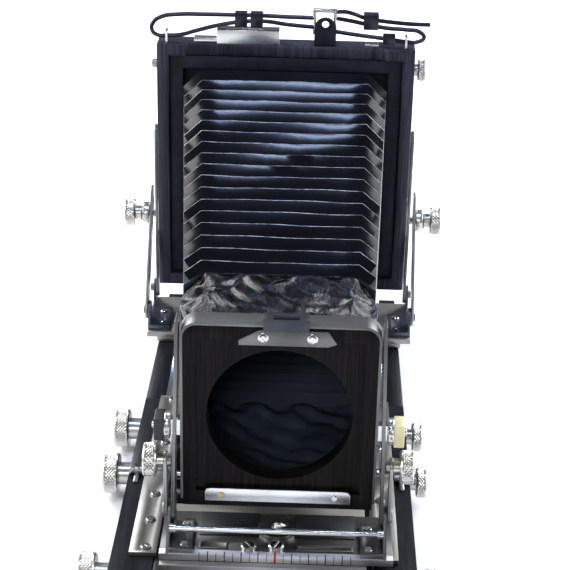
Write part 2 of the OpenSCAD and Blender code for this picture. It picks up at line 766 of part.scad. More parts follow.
// Feet with an ear in front for the brace and one behind for the arm
module rear_feet() {
    color([0.2, 0.2, 0.24]) both_sides() {
        difference() {
            union() {
                block([84, base_front + 3, base_top], [ear_x + sheet_t, base_front + 36, foot_top]);
                side_sheet(ear_x, sheet_t) union() {
                    translate([base_front + 3, base_top]) square([base_d - 5, foot_t]);
                    for (y = [brace_y, frame_mid_y]) {
                        translate([y - 7, base_top]) square([14, pivot_z - base_top]);
                        translate([y, pivot_z]) circle(7);
                    }
                }
            }
            rod(ear_x - 1, ear_x + sheet_t + 1, brace_y, pivot_z, pin_r);
            rod(ear_x - 1, ear_x + sheet_t + 1, frame_mid_y, pivot_z, pin_r + run_gap);
            for (y = [base_front + 10, base_front + 28])
                translate([90, y, foot_top - 1.5]) cylinder(h = 3, r = 3);
        }
        rod(ear_x, ear_x + sheet_t, brace_y, pivot_z, pin_r);
        rod(ear_x + sheet_t, rear_stud_x + 1, brace_y, pivot_z, pin_r);
        for (y = [base_front + 10, base_front + 28])
            translate([90, y, foot_top - 1.5]) cylinder(h = 1.4, r = 2.8);
    }
}

brace_dir = [frame_mid_y - brace_y, rear_axis_z - pivot_z] / norm([frame_mid_y - brace_y, rear_axis_z - pivot_z]);
module rear_braces() {
    foot = [brace_y, pivot_z];
    head = [frame_mid_y, rear_axis_z];
    color([0.62, 0.62, 0.6]) both_sides() side_sheet(brace_x, sheet_t) difference() {
        strip(foot, head + 15 * brace_dir, 7);
        translate(foot) circle(pin_r + run_gap);
        strip(head - 13 * brace_dir, head + 10 * brace_dir, pin_r + 0.7);
    }
}

module rear_arms() {
    color([0.5, 0.5, 0.5]) both_sides() {
        side_sheet(arm_x, sheet_t) difference() {
            strip([frame_mid_y, pivot_z], [frame_mid_y, arm_top - 7], 7);
            translate([frame_mid_y, rear_axis_z]) circle(pin_r + run_gap);
            strip([frame_mid_y, rear_axis_z + 16], [frame_mid_y, arm_top - 14], 2.2);
        }
        rod(arm_x + sheet_t, rear_stud_x, frame_mid_y, pivot_z, pin_r);
    }
}

module rear_frame() {
    color([0.13, 0.13, 0.17]) difference() {
        block([-frame_half, rear_y, frame_low], [frame_half, frame_back, frame_top]);
        block([-frame_half + rim_w, rear_y - 1, frame_low + rim_w],
            [frame_half - rim_w, rear_y + step_d, frame_top - rim_w]);
        block([-open_half, rear_y - 1, open_low], [open_half, frame_back + 1, open_top]);
        block([-frame_half + 22, rear_y - 1, frame_top - rim_w - 1],
            [frame_half - 22, rear_y + 3, frame_top + 1]);
    }
}

module side_bosses() {
    color([0.62, 0.62, 0.6]) {
        both_sides() {
            side_sheet(frame_half, boss_t)
                strip([frame_mid_y, rear_axis_z - 10], [frame_mid_y, rear_axis_z + 10], 8);
            rod(frame_half + boss_t, rear_stud_x + 4, frame_mid_y, rear_axis_z, pin_r);
        }
        rod(frame_half, frame_half + 4, frame_mid_y, frame_top - 18, 3);
        rod(-frame_half - 4.5, -frame_half, frame_mid_y, frame_top - 18, 3.3);
    }
}

module rear_bellows_frame() {
    color([0.08, 0.08, 0.09]) difference() {
        block([-frame_half + rim_w + 0.3, rear_y + step_d - 2.5, frame_low + rim_w + 0.3],
            [frame_half - rim_w - 0.3, rear_y + step_d, frame_top - rim_w - 0.3]);
        block([-open_half, rear_y, open_low], [open_half, frame_back, open_top]);
    }
}

lug_x = frame_half - 7;
lug_y = rear_y + 8;
lug_hole_h = 4.2;
module strap_lugs() {
    color([0.75, 0.75, 0.73]) both_sides() difference() {
        block([lug_x - 0.8, lug_y - 4.5, frame_top], [lug_x + 0.8, lug_y + 4.5, frame_top + 8.5]);
        rod(lug_x - 2, lug_x + 2, lug_y, frame_top + lug_hole_h, 3);
    }
}

module latch_block() {
    color([0.62, 0.62, 0.6]) {
        difference() {
            block([-51, rear_y + 4, frame_top], [-5, rear_y + 16, frame_top + 10.5]);
            block([-39.5, rear_y + 7, frame_top + 7], [-17.5, rear_y + 13, frame_top + 11]);
        }
        block([-68, rear_y + 6, frame_top], [-51, rear_y + 14, frame_top + 3.5]);
        block([58, rear_y + 6, frame_top], [68, rear_y + 12, frame_top + 2.2]);
    }
}

tab_x = 28.5;
tab_y = rear_y + 5.5;
tab_h = 13;
module catch_tab() {
    color([0.1, 0.1, 0.11]) translate([tab_x, 0, frame_top]) difference() {
        union() {
            face_plate(tab_y, 2.5) union() {
                translate([-8, 0]) square([16, tab_h]);
                translate([0, tab_h]) circle(8);
            }
            block([-8, tab_y, 0], [8, tab_y + 10, 2]);
        }
        translate([0, tab_y - 1, tab_h + 3]) rotate([-90, 0, 0]) cylinder(h = 5, r = 2.6);
    }
}

// Carrying strap: the routes of its left loop, its right loop and its free tail. Each point has its X,
// its height above the frame and its distance behind the lugs.
strap_left_route = [[20, 12.4, 3.4], [0, 14, 3], [-16, 16, 2.5], [-33, 15.4, 2], [-50, 12.6, 1], [-66, 8.5, 0],
    [-78, 5, 0], [-88, 4.2, 0], [-95, 4.4, 0], [-99, 8, 0.5], [-98, 13.5, 1], [-92, 17.6, 2], [-80, 19.4, 3],
    [-60, 19.8, 3.5], [-33, 19.8, 4], [-16, 19.8, 4], [0, 19.4, 4], [20, 19.2, 4]];
strap_right_route = [[36, 9.6, 3], [46, 8.4, 2.5], [62, 6.8, 1.5], [76, 5.6, 0.5], [88, 4.2, 0], [96, 4.2, 0],
    [101, 7.6, 0.5], [98, 11.2, 1.5], [88, 12.4, 3], [74, 12.8, 4.5], [62, 14.4, 5], [50, 17, 4.5], [36, 19.4, 4]];
strap_tail_route = [[36, 24, 4], [43, 24, 5], [50, 22, 6.5], [57, 19.2, 8], [64, 17.8, 8.2], [80, 16.2, 8],
    [92, 15.4, 8], [105.5, 15.2, 8]];
function strap_path(route) = [for (p = route) [p[0], lug_y + p[2], frame_top + p[1]]];

module tube(path, r, sides) {
    n = len(path);
    function heading(i) = let (a = path[max(i - 1, 0)], b = path[min(i + 1, n - 1)]) (b - a) / norm(b - a);
    function across(i) = let (c = cross([0, 1, 0], heading(i))) c / norm(c);
    rings = [for (i = [0:n - 1], k = [0:sides - 1]) let (a = 360 * k / sides)
        path[i] + r * cos(a) * cross(heading(i), across(i)) + r * sin(a) * across(i)];
    polyhedron(rings, concat(
        [[for (k = [0:sides - 1]) k]],
        [for (i = [0:n - 2], k = [0:sides - 1]) let (j = (k + 1) % sides)
            [i * sides + j, i * sides + k, (i + 1) * sides + k, (i + 1) * sides + j]],
        [[for (k = [sides - 1:-1:0]) (n - 1) * sides + k]]));
}

module strap() {
    color([0.08, 0.08, 0.12]) for (route = [strap_left_route, strap_right_route, strap_tail_route])
        tube(strap_path(route), strap_r, 8);
}

// A loop of wall 0.6 round the strap, open along X, given by its inner box
module keeper(x, w, y0, y1, z0, z1) {
    wall = 0.6;
    translate([x - w / 2, lug_y, frame_top]) difference() {
        block([0, y0 - wall, z0 - wall], [w, y1 + wall, z1 + wall]);
        block([-1, y0, z0], [w + 1, y1, z1]);
    }
}

// Keepers that hold the doubled strap together, and the buckle behind the catch tab
module strap_fittings() {
    color([0.06, 0.06, 0.08]) {
        for (x = [-33.5, -22]) keeper(x, 9, -0.4, 6.2, 12.6, 22);
        keeper(62, 11, 2.6, 10.4, 12.2, 22.4);
        keeper(75.5, 9, -1.8, 3.4, 2.8, 8.6);
        keeper(28, 18, 1.2, 7.4, 7.4, 26.4);
    }
}

// Rear knobs
module rear_knob() {
    difference() {
        knob(rear_stud_x, frame_mid_y, rear_axis_z, rear_knob_r, rear_knob_w, 5.5, rear_neck);
        rod(rear_stud_x - 1, rear_stud_x + 4 + run_gap, frame_mid_y, rear_axis_z, pin_r + run_gap);
    }
}
module rear_knob_left() { color([0.8, 0.79, 0.75]) mirror([1, 0, 0]) rear_knob(); }
module rear_knob_right() { color([0.8, 0.79, 0.75]) rear_knob(); }
module frame_knob() {
    color([0.8, 0.79, 0.75]) difference() {
        knob(frame_half + 0.2, frame_mid_y, frame_top - 18, 8, 6, 4.5, 2.5);
        rod(frame_half - 1, frame_half + 4 + run_gap, frame_mid_y, frame_top - 18, 3 + run_gap);
    }
}

// The camera back

module window_frame(w, h, open_w, open_h, y, t) {
    difference() {
        block([-w / 2, y, back_mid - h / 2], [w / 2, y + t, back_mid + h / 2]);
        block([-open_w / 2, y - 1, back_mid - open_h / 2], [open_w / 2, y + t + 1, back_mid + open_h / 2]);
    }
}

module back_frame() {
    color([0.13, 0.12, 0.14])
        window_frame(frame_w - 8, back_top - back_low, film_w + 1, film_h + 1, frame_back + slide_gap, back_t);
}

glass_w = film_w + 9;
glass_h = film_h + 9;
glass_seat_y = glass_y + glass_frame_t - 3;
glass_frame_w = glass_w + 22;
module glass_frame() {
    color([0.13, 0.12, 0.14]) difference() {
        window_frame(glass_frame_w, glass_h + 18, film_w, film_h, glass_y, glass_frame_t);
        block([-glass_w / 2, glass_seat_y, back_mid - glass_h / 2],
            [glass_w / 2, glass_y + glass_frame_t + 1, back_mid + glass_h / 2]);
    }
}

module ground_glass() {
    color([0.8, 0.85, 0.85, 0.6])
        block([-glass_w / 2 + 0.3, glass_seat_y, back_mid - glass_h / 2 + 0.3],
            [glass_w / 2 - 0.3, glass_seat_y + glass_t, back_mid + glass_h / 2 - 0.3]);
}

// Leaf springs that press the ground-glass frame on, each screwed to the back through two posts
module back_springs() {
    y = glass_y + glass_frame_t;
    end = glass_frame_w / 2 + 7;
    color([0.75, 0.75, 0.73]) for (z = [-1, 1]) {
        mid = back_mid + z * (glass_h / 2 + 5);
        block([-end, y, mid - 3], [end, y + 0.8, mid + 3]);
        both_sides() block([end - 5, frame_back + slide_gap + back_t, mid - 3], [end, y, mid + 3]);
    }
}

base_box();
rear_rails();
tripod_bush();
rear_guide_plates();
bed_bushes();
bed_hinge();
flap_rails();
front_guide_plates();
flap_hinge();
front_runners();
front_racks();
carriage_plate();
swing_pivot();
swing_plate();
foot_brackets();
cross_bar();
front_uprights();
front_struts();
axis_studs();
rise_lock_left();
rise_lock_right();
front_tilt_knob_left();
front_tilt_knob_right();
lens_frame();
frame_band();
board_lock_plate();
name_plate();
plate_screws();
front_bellows_frame();
board_lock_slider();
bellows_pleats();
bellows_bag();
front_focus_shaft();
front_focus_knob();
front_lock_knob();
rear_focus_shaft();
rear_focus_knob();
rear_lock_knob();
bed_lock_rod();
rear_racks();
rear_lower_plate();
rear_base_plate();
rear_feet();
rear_braces();
rear_arms();
rear_frame();
side_bosses();
rear_bellows_frame();
strap_lugs();
latch_block();
catch_tab();
strap();
strap_fittings();
rear_knob_left();
rear_knob_right();
frame_knob();
back_frame();
glass_frame();
ground_glass();
back_springs();
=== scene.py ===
import json
import math

import bpy
from mathutils import Matrix, Vector

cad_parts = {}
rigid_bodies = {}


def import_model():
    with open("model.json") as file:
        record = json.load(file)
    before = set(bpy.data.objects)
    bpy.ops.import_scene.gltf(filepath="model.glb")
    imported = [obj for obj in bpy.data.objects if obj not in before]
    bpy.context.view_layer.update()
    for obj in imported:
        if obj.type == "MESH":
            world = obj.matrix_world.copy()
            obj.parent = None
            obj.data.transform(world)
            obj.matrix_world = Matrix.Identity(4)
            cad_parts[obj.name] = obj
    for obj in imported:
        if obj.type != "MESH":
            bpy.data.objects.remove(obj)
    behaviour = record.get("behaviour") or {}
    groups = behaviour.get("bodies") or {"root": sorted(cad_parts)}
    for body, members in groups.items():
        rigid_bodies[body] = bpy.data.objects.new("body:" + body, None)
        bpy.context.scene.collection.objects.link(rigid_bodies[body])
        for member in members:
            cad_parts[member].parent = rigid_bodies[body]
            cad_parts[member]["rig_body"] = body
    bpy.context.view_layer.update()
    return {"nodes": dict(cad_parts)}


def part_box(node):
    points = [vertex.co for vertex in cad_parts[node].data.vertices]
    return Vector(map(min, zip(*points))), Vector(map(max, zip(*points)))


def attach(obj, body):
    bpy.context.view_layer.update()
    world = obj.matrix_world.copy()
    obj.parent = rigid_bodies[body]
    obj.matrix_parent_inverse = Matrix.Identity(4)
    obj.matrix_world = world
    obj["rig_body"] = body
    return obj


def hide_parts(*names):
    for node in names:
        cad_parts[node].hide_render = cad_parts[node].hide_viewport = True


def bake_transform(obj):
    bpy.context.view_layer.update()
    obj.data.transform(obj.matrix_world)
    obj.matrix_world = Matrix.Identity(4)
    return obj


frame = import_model()

# ---- Camera, floor and light ----------------------------------------------------------------
# A pale sweep lit by large soft panels, and the camera in front of the lens end, looking down
# along the bed.
camera_place = (0.0238, -0.9465, 0.5743)
camera_heading = math.radians(1.04)
camera_dip = math.radians(24.36)
camera_roll = math.radians(1.29)
bpy.ops.object.camera_add()
camera = bpy.context.object
camera.data.lens = 100.4
camera.matrix_world = (
    Matrix.Translation(camera_place)
    @ Matrix.Rotation(camera_heading, 4, "Z")
    @ Matrix.Rotation(math.pi / 2 - camera_dip, 4, "X")
    @ Matrix.Rotation(camera_roll, 4, "Z")
)
bpy.context.scene.camera = camera

floor_half = 6.0
bpy.ops.mesh.primitive_plane_add(size=2 * floor_half, location=(0, 0, 0))
floor = bpy.context.object
floor.name = "floor"
floor_paint = bpy.data.materials.new("pale_sweep")
floor_paint.use_nodes = True
floor_shader = floor_paint.node_tree.nodes["Principled BSDF"]
floor_shader.inputs["Base Color"].default_value = (0.93, 0.93, 0.94, 1)
floor_shader.inputs["Roughness"].default_value = 0.9
floor.data.materials.append(floor_paint)

world = bpy.data.worlds.new("studio")
world.use_nodes = True
world.node_tree.nodes["Background"].inputs["Color"].default_value = (0.8, 0.86, 1.0, 1)
world.node_tree.nodes["Background"].inputs["Strength"].default_value = 0.14
bpy.context.scene.world = world
bpy.context.scene.view_settings.view_transform = "Standard"


def light_panel(name, place, aim, width, height, watts, tint):
    bpy.ops.object.light_add(type="AREA", location=place)
    panel = bpy.context.object
    panel.name = name
    panel.data.shape = "RECTANGLE"
    panel.data.size = width
    panel.data.size_y = height
    panel.data.energy = watts
    panel.data.color = tint
    panel.rotation_euler = (Vector(aim) - Vector(place)).to_track_quat("-Z", "Y").to_euler()


light_panel("left", (-1.3, -0.15, 0.75), (0, 0, 0.12), 0.9, 0.9, 17, (1, 0.98, 0.95))
light_panel("right", (1.3, -0.1, 0.75), (0, 0, 0.12), 0.9, 0.9, 15, (0.95, 0.97, 1))
light_panel("rear_left", (-1.3, 1.3, 1.3), (-0.2, 0.7, 0), 1.2, 1.0, 48, (0.95, 0.97, 1))
light_panel("rear_right", (1.3, 1.3, 1.3), (0.2, 0.7, 0), 1.2, 1.0, 48, (0.95, 0.97, 1))
light_panel("front", (-0.2, -1.5, 0.9), (0, 0, 0.1), 0.5, 0.35, 4, (1, 0.99, 0.97))
light_panel("gleam", (-0.05, -0.1, 1.25), (0, 0.14, 0.22), 0.42, 0.08, 4.6, (0.5, 0.64, 1))


def new_material(name, metallic, roughness):
    material = bpy.data.materials.new(name)
    material.use_nodes = True
    shader = material.node_tree.nodes["Principled BSDF"]
    shader.inputs["Metallic"].default_value = metallic
    shader.inputs["Roughness"].default_value = roughness
    return material, shader


def noise_on(material, scale, stretch=(1, 1, 1), detail=4.0, rough=0.5):
    nodes, links = material.node_tree.nodes, material.node_tree.links
    coords = nodes.new("ShaderNodeTexCoord")
    mapping = nodes.new("ShaderNodeMapping")
    mapping.inputs["Scale"].default_value = stretch
    noise = nodes.new("ShaderNodeTexNoise")
    noise.inputs["Scale"].default_value = scale
    noise.inputs["Detail"].default_value = detail
    noise.inputs["Roughness"].default_value = rough
    links.new(coords.outputs["Object"], mapping.inputs["Vector"])
    links.new(mapping.outputs["Vector"], noise.inputs["Vector"])
    return noise.outputs["Fac"]


def ramp_from(material, source, stops):
    nodes, links = material.node_tree.nodes, material.node_tree.links
    ramp = nodes.new("ShaderNodeValToRGB")
    ramp.color_ramp.elements[0].position = stops[0][0]
    ramp.color_ramp.elements[0].color = (*stops[0][1], 1)
    ramp.color_ramp.elements[1].position = stops[-1][0]
    ramp.color_ramp.elements[1].color = (*stops[-1][1], 1)
    for place, colour in stops[1:-1]:
        ramp.color_ramp.elements.new(place).color = (*colour, 1)
    links.new(source, ramp.inputs["Fac"])
    return ramp.outputs["Color"]


def colour_from(material, shader, source, stops):
    ramp = ramp_from(material, source, stops)
    material.node_tree.links.new(ramp, shader.inputs["Base Color"])


def mixed(material, factor, first, second, way="MIX"):
    nodes, links = material.node_tree.nodes, material.node_tree.links
    mix = nodes.new("ShaderNodeMix")
    mix.data_type = "RGBA"
    mix.blend_type = way
    for socket, value in ((mix.inputs[0], factor), (mix.inputs[6], first), (mix.inputs[7], second)):
        if isinstance(value, bpy.types.NodeSocket):
            links.new(value, socket)
        else:
            socket.default_value = value if socket == mix.inputs[0] else (*value, 1)
    return mix.outputs[2]


def roughness_from(material, shader, source, low, high):
    spread = material.node_tree.nodes.new("ShaderNodeMapRange")
    spread.inputs["To Min"].default_value = low
    spread.inputs["To Max"].default_value = high
    material.node_tree.links.new(source, spread.inputs["Value"])
    material.node_tree.links.new(spread.outputs["Result"], shader.inputs["Roughness"])


def relief_from(material, shader, sources, depth):
    """Each source is a height output and its share of the depth, one bump after the other"""
    last = None
    for source, share in sources:
        bump = material.node_tree.nodes.new("ShaderNodeBump")
        bump.inputs["Strength"].default_value = share
        bump.inputs["Distance"].default_value = depth
        material.node_tree.links.new(source, bump.inputs["Height"])
        if last:
            material.node_tree.links.new(last, bump.inputs["Normal"])
        last = bump.outputs["Normal"]
    material.node_tree.links.new(last, shader.inputs["Normal"])


def black_wood(name, along, dark, light, low=0.28, high=0.46, gloss=0.3):
    """Dense black wood with its pores and streaks drawn out along one axis, 0 to 2"""
    stretch = [1.0, 1.0, 1.0]
    stretch[along] = 0.035
    broad = [1.0, 1.0, 1.0]
    broad[along] = 0.08
    material, shader = new_material(name, 0.0, 0.4)
    pores = noise_on(material, 900, stretch, 3)
    streaks = noise_on(material, 70, broad, 6, 0.6)
    colour = ramp_from(material, streaks, [(0.35, dark), (0.7, light)])
    pore_shade = ramp_from(material, pores, [(0.38, (0.35, 0.35, 0.35)), (0.6, (1, 1, 1))])
    material.node_tree.links.new(
        mixed(material, 1.0, colour, pore_shade, "MULTIPLY"), shader.inputs["Base Color"])
    roughness_from(material, shader, streaks, low, high)
    relief_from(material, shader, [(pores, 0.25), (streaks, 0.12)], 0.0003)
    shader.inputs["Specular IOR Level"].default_value = gloss
    return material


def pieces_of(node):
    """A copy of a node's mesh as one clean piece, active and selected"""
    bpy.ops.object.select_all(action="DESELECT")
    part = bpy.data.objects.new(node + "_piece", frame["nodes"][node].data.copy())
    bpy.context.scene.collection.objects.link(part)
    part.select_set(True)
    bpy.context.view_layer.objects.active = part
    bpy.ops.object.mode_set(mode="EDIT")
    bpy.ops.mesh.select_all(action="SELECT")
    bpy.ops.mesh.remove_doubles(threshold=1e-6)
    bpy.ops.mesh.dissolve_limited(angle_limit=math.radians(1))
    bpy.ops.object.mode_set(mode="OBJECT")
    return part


def settle(part, node, material, body=None):
    """Gives a finished piece its material and its body, and hides the node that it stands for"""
    part.data.materials.clear()
    part.data.materials.append(material)
    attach(part, body or frame["nodes"][node]["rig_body"])
    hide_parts(node)


def break_edges(part, width, segments=2, corner=None):
    """Rounds the active piece's sharp edges, counted from a turn of corner degrees if it is given"""
    bevel = part.modifiers.new("broken_edges", "BEVEL")
    bevel.width = width
    bevel.segments = segments
    if corner:
        bevel.limit_method = "ANGLE"
        bevel.angle_limit = math.radians(corner)
    bpy.ops.object.modifier_apply(modifier="broken_edges")


def eased(node, edge, material, corner=35):
    """The node's own shape with every sharp edge broken by edge metres"""
    part = pieces_of(node)
    if edge:
        break_edges(part, edge, corner=corner)
    bpy.ops.object.shade_smooth_by_angle(angle=math.radians(40))
    settle(part, node, material)
    return part


bed_wood = black_wood("bed_wood", 1, (0.004, 0.004, 0.006), (0.02, 0.02, 0.03))
for node in ("base_box", "rear_rails", "flap_rails", "front_runners"):
    eased(node, 0.0007, bed_wood)

# ---- Plates and brackets --------------------------------------------------------------------
# The guide plates, carriage plates, brackets and links are cut from titanium sheet, blasted to a
# warm satin grey, and screwed to the wood.


def titanium(name, dark, light, low, high):
    material, shader = new_material(name, 1.0, 0.4)
    clouds = noise_on(material, 22, detail=5)
    blasting = noise_on(material, 2600, detail=2)
    scratches = noise_on(material, 500, (1, 0.05, 1), 3)
    colour_from(material, shader, clouds, [(0.35, dark), (0.68, light)])
    roughness_from(material, shader, clouds, high, low)
    relief_from(material, shader, [(blasting, 0.25), (scratches, 0.08)], 0.0002)
    return material


plate_metal = titanium("plate_titanium", (0.27, 0.26, 0.24), (0.42, 0.41, 0.38), 0.36, 0.5)
link_metal = titanium("link_titanium", (0.34, 0.34, 0.32), (0.52, 0.52, 0.49), 0.28, 0.42)
dark_link_metal = titanium("dark_link_titanium", (0.16, 0.16, 0.16), (0.28, 0.28, 0.27), 0.3, 0.45)
bright_metal = titanium("bright_titanium", (0.6, 0.6, 0.6), (0.8, 0.8, 0.79), 0.18, 0.3)
foot_metal = titanium("dark_anodised", (0.1, 0.105, 0.14), (0.18, 0.19, 0.24), 0.35, 0.5)
for node in ("rear_guide_plates", "front_guide_plates", "carriage_plate", "rear_lower_plate",
             "rear_base_plate"):
    eased(node, 0.0004, plate_metal)

# The swing plate's front edge is divided every 5 mm, the tens longer, with a red zero mark. Behind
# its scale lie two thin index plates and two flat black sheets, which are painted shade: they darken
# the swing plate's back part where the lens frame shades it.
swing_low, swing_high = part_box("swing_plate")
swing_middle = (swing_low.x + swing_high.x) / 2
scale_metal = titanium("scale_titanium", (0.52, 0.51, 0.52), (0.72, 0.7, 0.71), 0.34, 0.48)
scale_nodes, scale_links = scale_metal.node_tree.nodes, scale_metal.node_tree.links
scale_place = scale_nodes.new("ShaderNodeTexCoord")
scale_axes = scale_nodes.new("ShaderNodeSeparateXYZ")
scale_links.new(scale_place.outputs["Object"], scale_axes.inputs["Vector"])


def reckon(operation, first, second=None):
    step = scale_nodes.new("ShaderNodeMath")
    step.operation = operation
    for socket, value in zip(step.inputs, (first, second)):
        if isinstance(value, bpy.types.NodeSocket):
            scale_links.new(value, socket)
        elif value is not None:
            socket.default_value = value
    return step.outputs["Value"]


scale_zero = swing_middle - 0.0005
scale_half = 0.0455
from_zero = reckon("SUBTRACT", scale_axes.outputs["X"], scale_zero)


def marks(pitch, half_line, reach):
    """1 on lines across the front edge, pitch apart, that reach back from it"""
    line = reckon("LESS_THAN", reckon("PINGPONG", from_zero, pitch / 2), half_line)
    near = reckon("LESS_THAN", scale_axes.outputs["Y"], swing_low.y + reach)
    inside = reckon("LESS_THAN", reckon("ABSOLUTE", from_zero), scale_half)
    return reckon("MULTIPLY", reckon("MULTIPLY", line, near), inside)


strip = reckon("LESS_THAN", scale_axes.outputs["Y"], swing_low.y + 0.0052)
plate_colour = scale_nodes["Principled BSDF"].inputs["Base Color"].links[0].from_socket
dulled = mixed(scale_metal, strip, (0.16, 0.16, 0.155), plate_colour)
black_marks = reckon("MAXIMUM", marks(0.005, 0.0002, 0.0024), marks(0.01, 0.0003, 0.0038))
scale_lined = mixed(scale_metal, black_marks, dulled, (0.01, 0.01, 0.012))
red_line = reckon("LESS_THAN", reckon("ABSOLUTE", from_zero), 0.0006)
red_mark = reckon("MULTIPLY", red_line, strip)
scale_links.new(mixed(scale_metal, red_mark, scale_lined, (0.55, 0.02, 0.02)),
                scale_nodes["Principled BSDF"].inputs["Base Color"])
eased("swing_plate", 0.0004, scale_metal)


def pick(part, wanted, kind="polygons"):
    """Selects in edit mode the faces or edges that wanted says yes to"""
    modes = {"edges": "EDGE", "polygons": "FACE"}
    bpy.ops.object.mode_set(mode="EDIT")
    bpy.ops.mesh.select_mode(type=modes[kind])
    bpy.ops.mesh.select_all(action="DESELECT")
    bpy.ops.object.mode_set(mode="OBJECT")
    for item in getattr(part.data, kind):
        item.select = wanted(item)
    bpy.ops.object.mode_set(mode="EDIT")


def start_box(name, middle, size):
    """A plain box as a new piece, active and selected"""
    bpy.ops.object.select_all(action="DESELECT")
    bpy.ops.mesh.primitive_cube_add(size=1, location=middle)
    part = bpy.context.object
    part.name = name
    part.scale = size
    bpy.ops.object.transform_apply(location=True, rotation=True, scale=True)
    return part


def thin_plate(name, low, high, material, edge=0.0002, window=None):
    """A flat plate lying on the swing plate, with a milled window inset by that much if it has one"""
    size = [b - a for a, b in zip(low, high)]
    plate = start_box(name, [(a + b) / 2 for a, b in zip(low, high)], size)
    pick(plate, lambda face: face.normal.z > 0.9)
    if window:
        bpy.ops.mesh.inset(thickness=window)
        bpy.ops.mesh.extrude_region_move(TRANSFORM_OT_translate={"value": (0, 0, -0.7 * size[2])})
    bpy.ops.object.mode_set(mode="OBJECT")
    break_edges(plate, edge)
    bpy.ops.object.shade_smooth_by_angle(angle=math.radians(40))
    plate.data.materials.append(material)
    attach(plate, "front_base")
    return plate


# Black material for the sheets of painted shade under the lens frame.
shade_paint, shade_paint_shader = new_material("painted_shade_sheet", 0.0, 0.35)
colour_from(shade_paint, shade_paint_shader, noise_on(shade_paint, 60),
            [(0.3, (0.006, 0.007, 0.008)), (0.7, (0.016, 0.017, 0.02))])
relief_from(shade_paint, shade_paint_shader, [(noise_on(shade_paint, 1800), 0.2)], 0.0001)
index_metal = titanium("index_titanium", (0.2, 0.2, 0.19), (0.3, 0.3, 0.29), 0.3, 0.42)
# Two flat black sheets of painted shade, one on each side of the pivot, near the swing plate's back edge.
for number, (start, stop) in enumerate(((-0.047, -0.0105), (0.0105, 0.047)), 1):
    thin_plate(f"shade_patch_{number}", (swing_middle + start, swing_high.y - 0.026, swing_high.z),
               (swing_middle + stop, swing_high.y - 0.0005, swing_high.z + 0.0006),
               shade_paint)
thin_plate("index_plate_left", (swing_middle - 0.046, swing_low.y + 0.0065, swing_high.z),
           (swing_middle - 0.029, swing_low.y + 0.0145, swing_high.z + 0.0007), index_metal, window=0.0012)
thin_plate("index_plate_right", (swing_middle + 0.012, swing_low.y + 0.0068, swing_high.z),
           (swing_middle + 0.046, swing_low.y + 0.0128, swing_high.z + 0.0008), index_metal, window=0.0018)
for node in ("bed_hinge", "flap_hinge", "front_struts", "rear_braces", "side_bosses"):
    eased(node, 0.0003, link_metal)
band_metal = titanium("band_titanium", (0.13, 0.13, 0.125), (0.24, 0.235, 0.225), 0.36, 0.5)
for node in ("board_lock_plate", "frame_band"):
    eased(node, 0.0003, band_metal)
for node in ("foot_brackets", "front_uprights", "rear_arms"):
    eased(node, 0.0003, dark_link_metal)
eased("rear_feet", 0.0004, foot_metal)
slider_metal = titanium("slider_anodised", (0.055, 0.06, 0.07), (0.1, 0.105, 0.12), 0.35, 0.5)
eased("board_lock_slider", 0.0004, slider_metal)
for node in ("name_plate", "latch_block"):
    eased(node, 0.0003, bright_metal)

# ---- Shafts, racks and pins -----------------------------------------------------------------
# Turned and cut parts: polished steel shafts and studs, brass racks and bushes.


def turned(name, colour, roughness, wear_and_highlight):
    material, shader = new_material(name, 1.0, roughness)
    smears = noise_on(material, 60, detail=4)
    colour_from(material, shader, smears, [(0.3, wear_and_highlight), (0.7, colour)])
    roughness_from(material, shader, smears, roughness + 0.12, roughness)
    return material


steel = turned("polished_steel", (0.78, 0.78, 0.77), 0.16, (0.55, 0.55, 0.54))
brass = turned("satin_brass", (0.75, 0.57, 0.27), 0.26, (0.5, 0.36, 0.16))
for node in ("swing_pivot", "cross_bar", "axis_studs", "front_focus_shaft", "rear_focus_shaft",
             "rear_racks", "strap_lugs"):
    eased(node, 0, steel)
eased("back_springs", 0.0002, link_metal)
for node in ("tripod_bush", "bed_bushes", "front_racks"):
    eased(node, 0, brass)

# ---- Screws ---------------------------------------------------------------------------------
# Slotted steel screws, nickelled, hold the plates down. Two hold the lens board lock over washers,
# and of the two in the name plate one is plain brass.

bpy.ops.object.select_all(action="DESELECT")
bpy.ops.mesh.primitive_cylinder_add(vertices=28, radius=1, depth=0.8, location=(0, 0, -0.1))
screw = bpy.context.object
screw.name = "screw_pattern"
bpy.ops.object.transform_apply(location=True, rotation=True, scale=True)
pick(screw, lambda face: face.normal.z > 0.9)
bpy.ops.mesh.inset(thickness=0.16)
bpy.ops.transform.translate(value=(0, 0, 0.12))
for side in (-0.13, 0.13):
    bpy.ops.mesh.select_all(action="SELECT")
    bpy.ops.mesh.bisect(plane_co=(side, 0, 0), plane_no=(1, 0, 0))
pick(screw, lambda face: face.normal.z > 0.9 and abs(face.center.x) < 0.1)
bpy.ops.mesh.extrude_region_move(TRANSFORM_OT_translate={"value": (0, 0, -0.3)})
bpy.ops.object.mode_set(mode="OBJECT")
bpy.ops.object.select_all(action="DESELECT")
bpy.ops.mesh.primitive_cylinder_add(vertices=28, radius=1.4, depth=0.3, location=(0, 0, -0.25))
washer = bpy.context.object
washer.name = "washer_pattern"
bpy.ops.object.transform_apply(location=True, rotation=True, scale=True)
pick(washer, lambda face: face.normal.z > 0.9)
bpy.ops.mesh.inset(thickness=0.15)
bpy.ops.transform.translate(value=(0, 0, 0.08))
bpy.ops.object.mode_set(mode="OBJECT")


